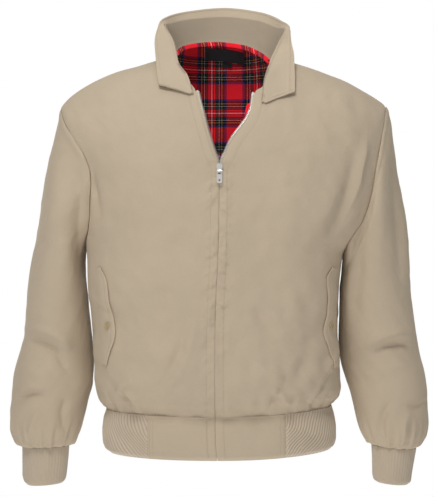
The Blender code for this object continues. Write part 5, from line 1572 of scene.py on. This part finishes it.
def satin_label(name, code):
    """Woven label: tight black satin with fine ribs across, slightly shining."""
    n = Nodes(name, code, 0.5)
    u, v = n.uv()
    ribs = n.math("MULTIPLY", n.wave(v, 0.5 * MM), n.wave(u, 0.35 * MM))
    n.set({"Normal": n.bump(ribs, 0.06 * MM, 0.6),
           "Base Color": n.tones(n.noise(4 * MM), 1.0, 1.35), "Sheen Weight": 0.15})
    return n.material


def zip_twill(name, code):
    """Zip tape: dense herringbone in matt polyester."""
    n = Nodes(name, code, 0.78)
    u, v = n.uv()
    slant = n.math("ADD", v, n.math("PINGPONG", u, 1.6 * MM))
    n.set({"Normal": n.bump(n.wave(slant, 0.9 * MM), 0.10 * MM, 0.6),
           "Base Color": n.tones(n.noise(2 * MM), 0.94, 1.04), "Sheen Weight": 0.1})
    return n.material


def nickel(name, code, rough):
    """Nickel-plated brass: bright, with faint rubbing that blurs what it mirrors."""
    n = Nodes(name, code, rough, 1.0)
    rub = n.noise(0.7 * MM, 3.0)
    n.set({"Roughness": n.math("MULTIPLY_ADD", rub, 0.22, rough),
           "Normal": n.bump(rub, 0.02 * MM, 0.4)})
    return n.material


def horn_button(name, code):
    """Dyed resin button: smooth, clouded like horn."""
    n = Nodes(name, code, 0.36)
    n.set({"Base Color": n.tones(n.noise(3 * MM, 3.0, 0.6), 0.84, 1.08), "Coat Weight": 0.15})
    return n.material


def sewing_thread(name, code):
    """Polyester thread: twisted, with a slight shine."""
    n = Nodes(name, code, 0.6)
    n.set({"Normal": n.bump(n.noise(0.35 * MM), 0.04 * MM, 0.5), "Sheen Weight": 0.2})
    return n.material


def studio_floor(name, code):
    """Matt paper sweep: near white, with a trace of unevenness."""
    n = Nodes(name, code, 0.9)
    n.set({"Base Color": n.tones(n.noise(0.6), 1.0, 0.985), "Specular IOR Level": 0.1,
           "Emission Color": colour("FFFFFF"), "Emission Strength": 0.5})
    return n.material


def materials():
    """All materials of the jacket, made once and found again by name."""
    kinds = bpy.context.scene.jacket_colours
    yarns = {yarn: getattr(kinds, yarn) for yarn, _ in SETT}
    known = {
        "poplin": (stone_poplin, "stone_poplin", kinds.cloth),
        # painted shade: the collar's inside gets the poplin at 0.88 of its brightness, for the
        # shade that falls there
        "inside": (stone_poplin, "stone_poplin_painted_shade", shade(kinds.cloth, 0.88)),
        "knit": (rib_wool, "rib_knit_yarn", kinds.knit),
        "tartan": (tartan_cotton, "tartan_cotton", yarns),
        "label": (satin_label, "woven_label", kinds.label),
        "tape": (zip_twill, "zip_tape_twill", kinds.tape),
        "metal": (nickel, "nickel_plate", kinds.metal, 0.20),
        "teeth": (nickel, "nickel_teeth", kinds.teeth, 0.36),
        "button": (horn_button, "resin_button", kinds.button),
        "thread": (sewing_thread, "sewing_thread", kinds.thread),
    }
    return {key: bpy.data.materials.get(look[0]) or make(*look)
            for key, (make, *look) in known.items()}


# ---------------------------------------------------------------- stage

def studio_air():
    """World that the camera sees as white and that lights the jacket more weakly."""
    world = bpy.data.worlds.new("studio_air")
    world.use_nodes = True
    tree = world.node_tree
    back = tree.nodes["Background"]
    back.inputs["Color"].default_value = colour("FFFFFF")
    seen = tree.nodes.new("ShaderNodeLightPath").outputs["Is Camera Ray"]
    share = tree.nodes.new("ShaderNodeMapRange")
    share.inputs["To Min"].default_value = AIR_LIGHT
    share.inputs["To Max"].default_value = 1.0
    tree.links.new(seen, share.inputs["Value"])
    tree.links.new(share.outputs["Result"], back.inputs["Strength"])
    return world


def turned_to(way):
    """Euler angles that turn a light's -Z to the given way."""
    way = unit(way)
    tilt = math.acos(max(-1.0, min(1.0, -way[2])))
    spin = math.atan2(way[1], way[0]) - math.pi / 2
    return (tilt, 0.0, spin)


# ---------------------------------------------------------------- operators

def length_property(name, description, default, low):
    return bpy.props.FloatProperty(name=name, description=description, default=default, min=low,
                                   unit="LENGTH")


def hex_property(name, description, default):
    return bpy.props.StringProperty(name=name, description=description, default=default, maxlen=6)


class JacketSizes(bpy.types.PropertyGroup):
    stitch_pitch: length_property("Stitch pitch", "One stitch to the next", 3.2 * MM, 1 * MM)
    stitch_length: length_property("Stitch length", "Thread that shows", 2.5 * MM, 0.5 * MM)
    thread_radius: length_property("Thread radius", "Half its thickness", 0.26 * MM, 0.05 * MM)
    camera_back: length_property("Camera distance", "From the jacket's origin", 2.7, 1.0)
    pixel: length_property("Render scale", "Width of one pixel at the origin", 1.65 * MM, 0.1 * MM)


class JacketColours(bpy.types.PropertyGroup):
    cloth: hex_property("Cloth", "Poplin of body, sleeves and collar", "BCAC95")
    knit: hex_property("Knit", "Rib of waistband and cuffs", "C7B69F")
    tape: hex_property("Zip tape", "Woven tape of the zip", "C4B498")
    thread: hex_property("Thread", "Top stitching", "A99A80")
    teeth: hex_property("Teeth", "Zip teeth, duller than the slider", "CFCECA")
    metal: hex_property("Metal", "Zip slider and pull", "E2E0DC")
    button: hex_property("Button", "Pocket buttons", "B09C70")
    label: hex_property("Label", "Neck label and size tab", "0E0F15")
    red: hex_property("Tartan red", "Ground of the tartan", "F0202F")
    green: hex_property("Tartan green", "Green yarn", "123A2C")
    black: hex_property("Tartan black", "Black yarn", "0F0F1C")
    pale: hex_property("Tartan white", "White yarn", "F2EEEA")
    yellow: hex_property("Tartan yellow", "Yellow yarn", "E6C85A")
    blue: hex_property("Tartan blue", "Blue yarn", "263072")


class JacketBody(bpy.types.Operator):
    """Fronts and back: poplin with folds, gathers over the rib and sunk seams"""
    bl_idname = "jacket.body"
    bl_label = "Fronts and back"

    def execute(self, context):
        cloth = materials()["poplin"]
        for word, side in SIDES.items():
            front_panel(word, side, cloth)
        back_panel(cloth)
        return {"FINISHED"}


class JacketSleeves(bpy.types.Operator):
    """Two sleeves with folds at the elbow and gathers over the cuffs"""
    bl_idname = "jacket.sleeves"
    bl_label = "Sleeves"

    def execute(self, context):
        for word, side in SIDES.items():
            sleeve(word, side, materials()["poplin"])
        return {"FINISHED"}


class JacketKnit(bpy.types.Operator):
    """Rib knit of the waistband and the cuffs, and the woven ends of the waistband"""
    bl_idname = "jacket.knit"
    bl_label = "Waistband and cuffs"

    def execute(self, context):
        found = materials()
        waistband_rib(found["knit"])
        for word, side in SIDES.items():
            cuff(word, side, found["knit"])
            waistband_front(word, side, found["poplin"])
        return {"FINISHED"}


class JacketCollar(bpy.types.Operator):
    """Collar: a stand round the neck whose front ends turn outward"""
    bl_idname = "jacket.collar"
    bl_label = "Collar"

    def execute(self, context):
        # the second material is the poplin's darker copy: painted shade for the collar's inside
        collar(materials()["poplin"], materials()["inside"])
        return {"FINISHED"}


class JacketLining(bpy.types.Operator):
    """Tartan lining of back and fronts, with a bare neck label and size tab"""
    bl_idname = "jacket.lining"
    bl_label = "Lining and labels"

    def execute(self, context):
        found = materials()
        lining_back(found["tartan"])
        for word, side in SIDES.items():
            lining_front(word, side, found["tartan"])
        neck_binding(found["tartan"])
        neck_piece("neck_label", *LABEL, (0.072, 0.024), found["label"])
        neck_piece("size_tab", *TAB, (0.017, 0.012), found["label"])
        return {"FINISHED"}


class JacketPockets(bpy.types.Operator):
    """Two slanting pocket flaps, each with a button"""
    bl_idname = "jacket.pockets"
    bl_label = "Pockets"

    def execute(self, context):
        found = materials()
        for word, side in SIDES.items():
            pocket_flap(word, side, found["poplin"])
            pocket_button(word, side, found["button"], found["thread"])
        return {"FINISHED"}


class JacketZip(bpy.types.Operator):
    """Zip: tapes, metal teeth, and the plating of slider and pull"""
    bl_idname = "jacket.zip"
    bl_label = "Zip"

    def execute(self, context):
        found = materials()
        for word, side in SIDES.items():
            zip_tape(word, side, found["tape"])
            teeth(word, side, found["teeth"])
        for node in ("zip_slider", "zip_pull"):
            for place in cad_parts[node].material_slots:
                place.material = found["metal"]
        return {"FINISHED"}


class JacketStitches(bpy.types.Operator):
    """Rows of top stitching along zip, collar, flaps and waistband"""
    bl_idname = "jacket.stitches"
    bl_label = "Top stitching"

    def execute(self, context):
        sizes = context.scene.jacket_sizes
        rows = [placket_row(side) for side in SIDES.values()] + collar_rows()
        for side in SIDES.values():
            rows += [flap_row(side), *waist_end_rows(side)]
        pairs, normals = zip(*(stitch_row(*row, sizes.stitch_pitch, sizes.stitch_length)
                               for row in rows))
        made = capsules("top_stitching", np.concatenate(pairs), np.concatenate(normals),
                        sizes.thread_radius, materials()["thread"])
        dress(made, "poplin")
        return {"FINISHED"}


class JacketStage(bpy.types.Operator):
    """Pale floor, soft studio light and the camera"""
    bl_idname = "jacket.stage"
    bl_label = "Stage"

    def execute(self, context):
        scene, sizes = context.scene, context.scene.jacket_sizes
        floor = bpy.data.meshes.new("floor")
        floor.from_pydata([(FLOOR_WIDE * a, FLOOR_WIDE * b, FLOOR_Z)
                           for a, b in ((-1, -1), (1, -1), (1, 1), (-1, 1))], [], [(0, 1, 2, 3)])
        floor.materials.append(studio_floor("studio_paper", "FFFFFF"))
        placed("floor", floor)
        scene.world = studio_air()
        for name, place, aim, size, power in LIGHTS:
            lamp = bpy.data.lights.new(name, "AREA")
            lamp.shape = "RECTANGLE"
            lamp.size, lamp.size_y = size
            lamp.energy = power
            placed(name, lamp, place, turned_to(np.array(aim) - np.array(place)))
        camera = bpy.data.cameras.new("camera")
        camera.sensor_width = SENSOR
        camera.lens = SENSOR * sizes.camera_back / (RENDER_POINTS * sizes.pixel)
        scene.camera = placed("camera", camera, (EYE[0], -sizes.camera_back, EYE[1]),
                              (math.pi / 2, 0.0, 0.0))
        scene.view_settings.view_transform = "Standard"
        scene.view_settings.look = "None"
        return {"FINISHED"}


class JacketPanel(bpy.types.Panel):
    """Lists the operators that build the jacket"""
    bl_idname = "VIEW3D_PT_jacket"
    bl_label = "Harrington jacket"
    bl_space_type = "VIEW_3D"
    bl_region_type = "UI"
    bl_category = "Jacket"

    def draw(self, context):
        for kind in OPERATORS:
            self.layout.operator(kind.bl_idname)
        for group in (context.scene.jacket_sizes, context.scene.jacket_colours):
            for key in group.__annotations__:
                self.layout.prop(group, key)


OPERATORS = (JacketStage, JacketBody, JacketSleeves, JacketKnit, JacketCollar, JacketLining,
             JacketPockets, JacketZip, JacketStitches)
CLASSES = (JacketSizes, JacketColours, *OPERATORS, JacketPanel)


def register():
    for kind in CLASSES:
        bpy.utils.register_class(kind)
    bpy.types.Scene.jacket_sizes = bpy.props.PointerProperty(type=JacketSizes)
    bpy.types.Scene.jacket_colours = bpy.props.PointerProperty(type=JacketColours)


def unregister():
    del bpy.types.Scene.jacket_sizes
    del bpy.types.Scene.jacket_colours
    for kind in reversed(CLASSES):
        bpy.utils.unregister_class(kind)


def main():
    register()
    bpy.ops.jacket.stage()
    bpy.ops.jacket.body()
    bpy.ops.jacket.sleeves()
    bpy.ops.jacket.knit()
    bpy.ops.jacket.collar()
    bpy.ops.jacket.lining()
    bpy.ops.jacket.pockets()
    bpy.ops.jacket.zip()
    bpy.ops.jacket.stitches()


if __name__ == "__main__":
    main()
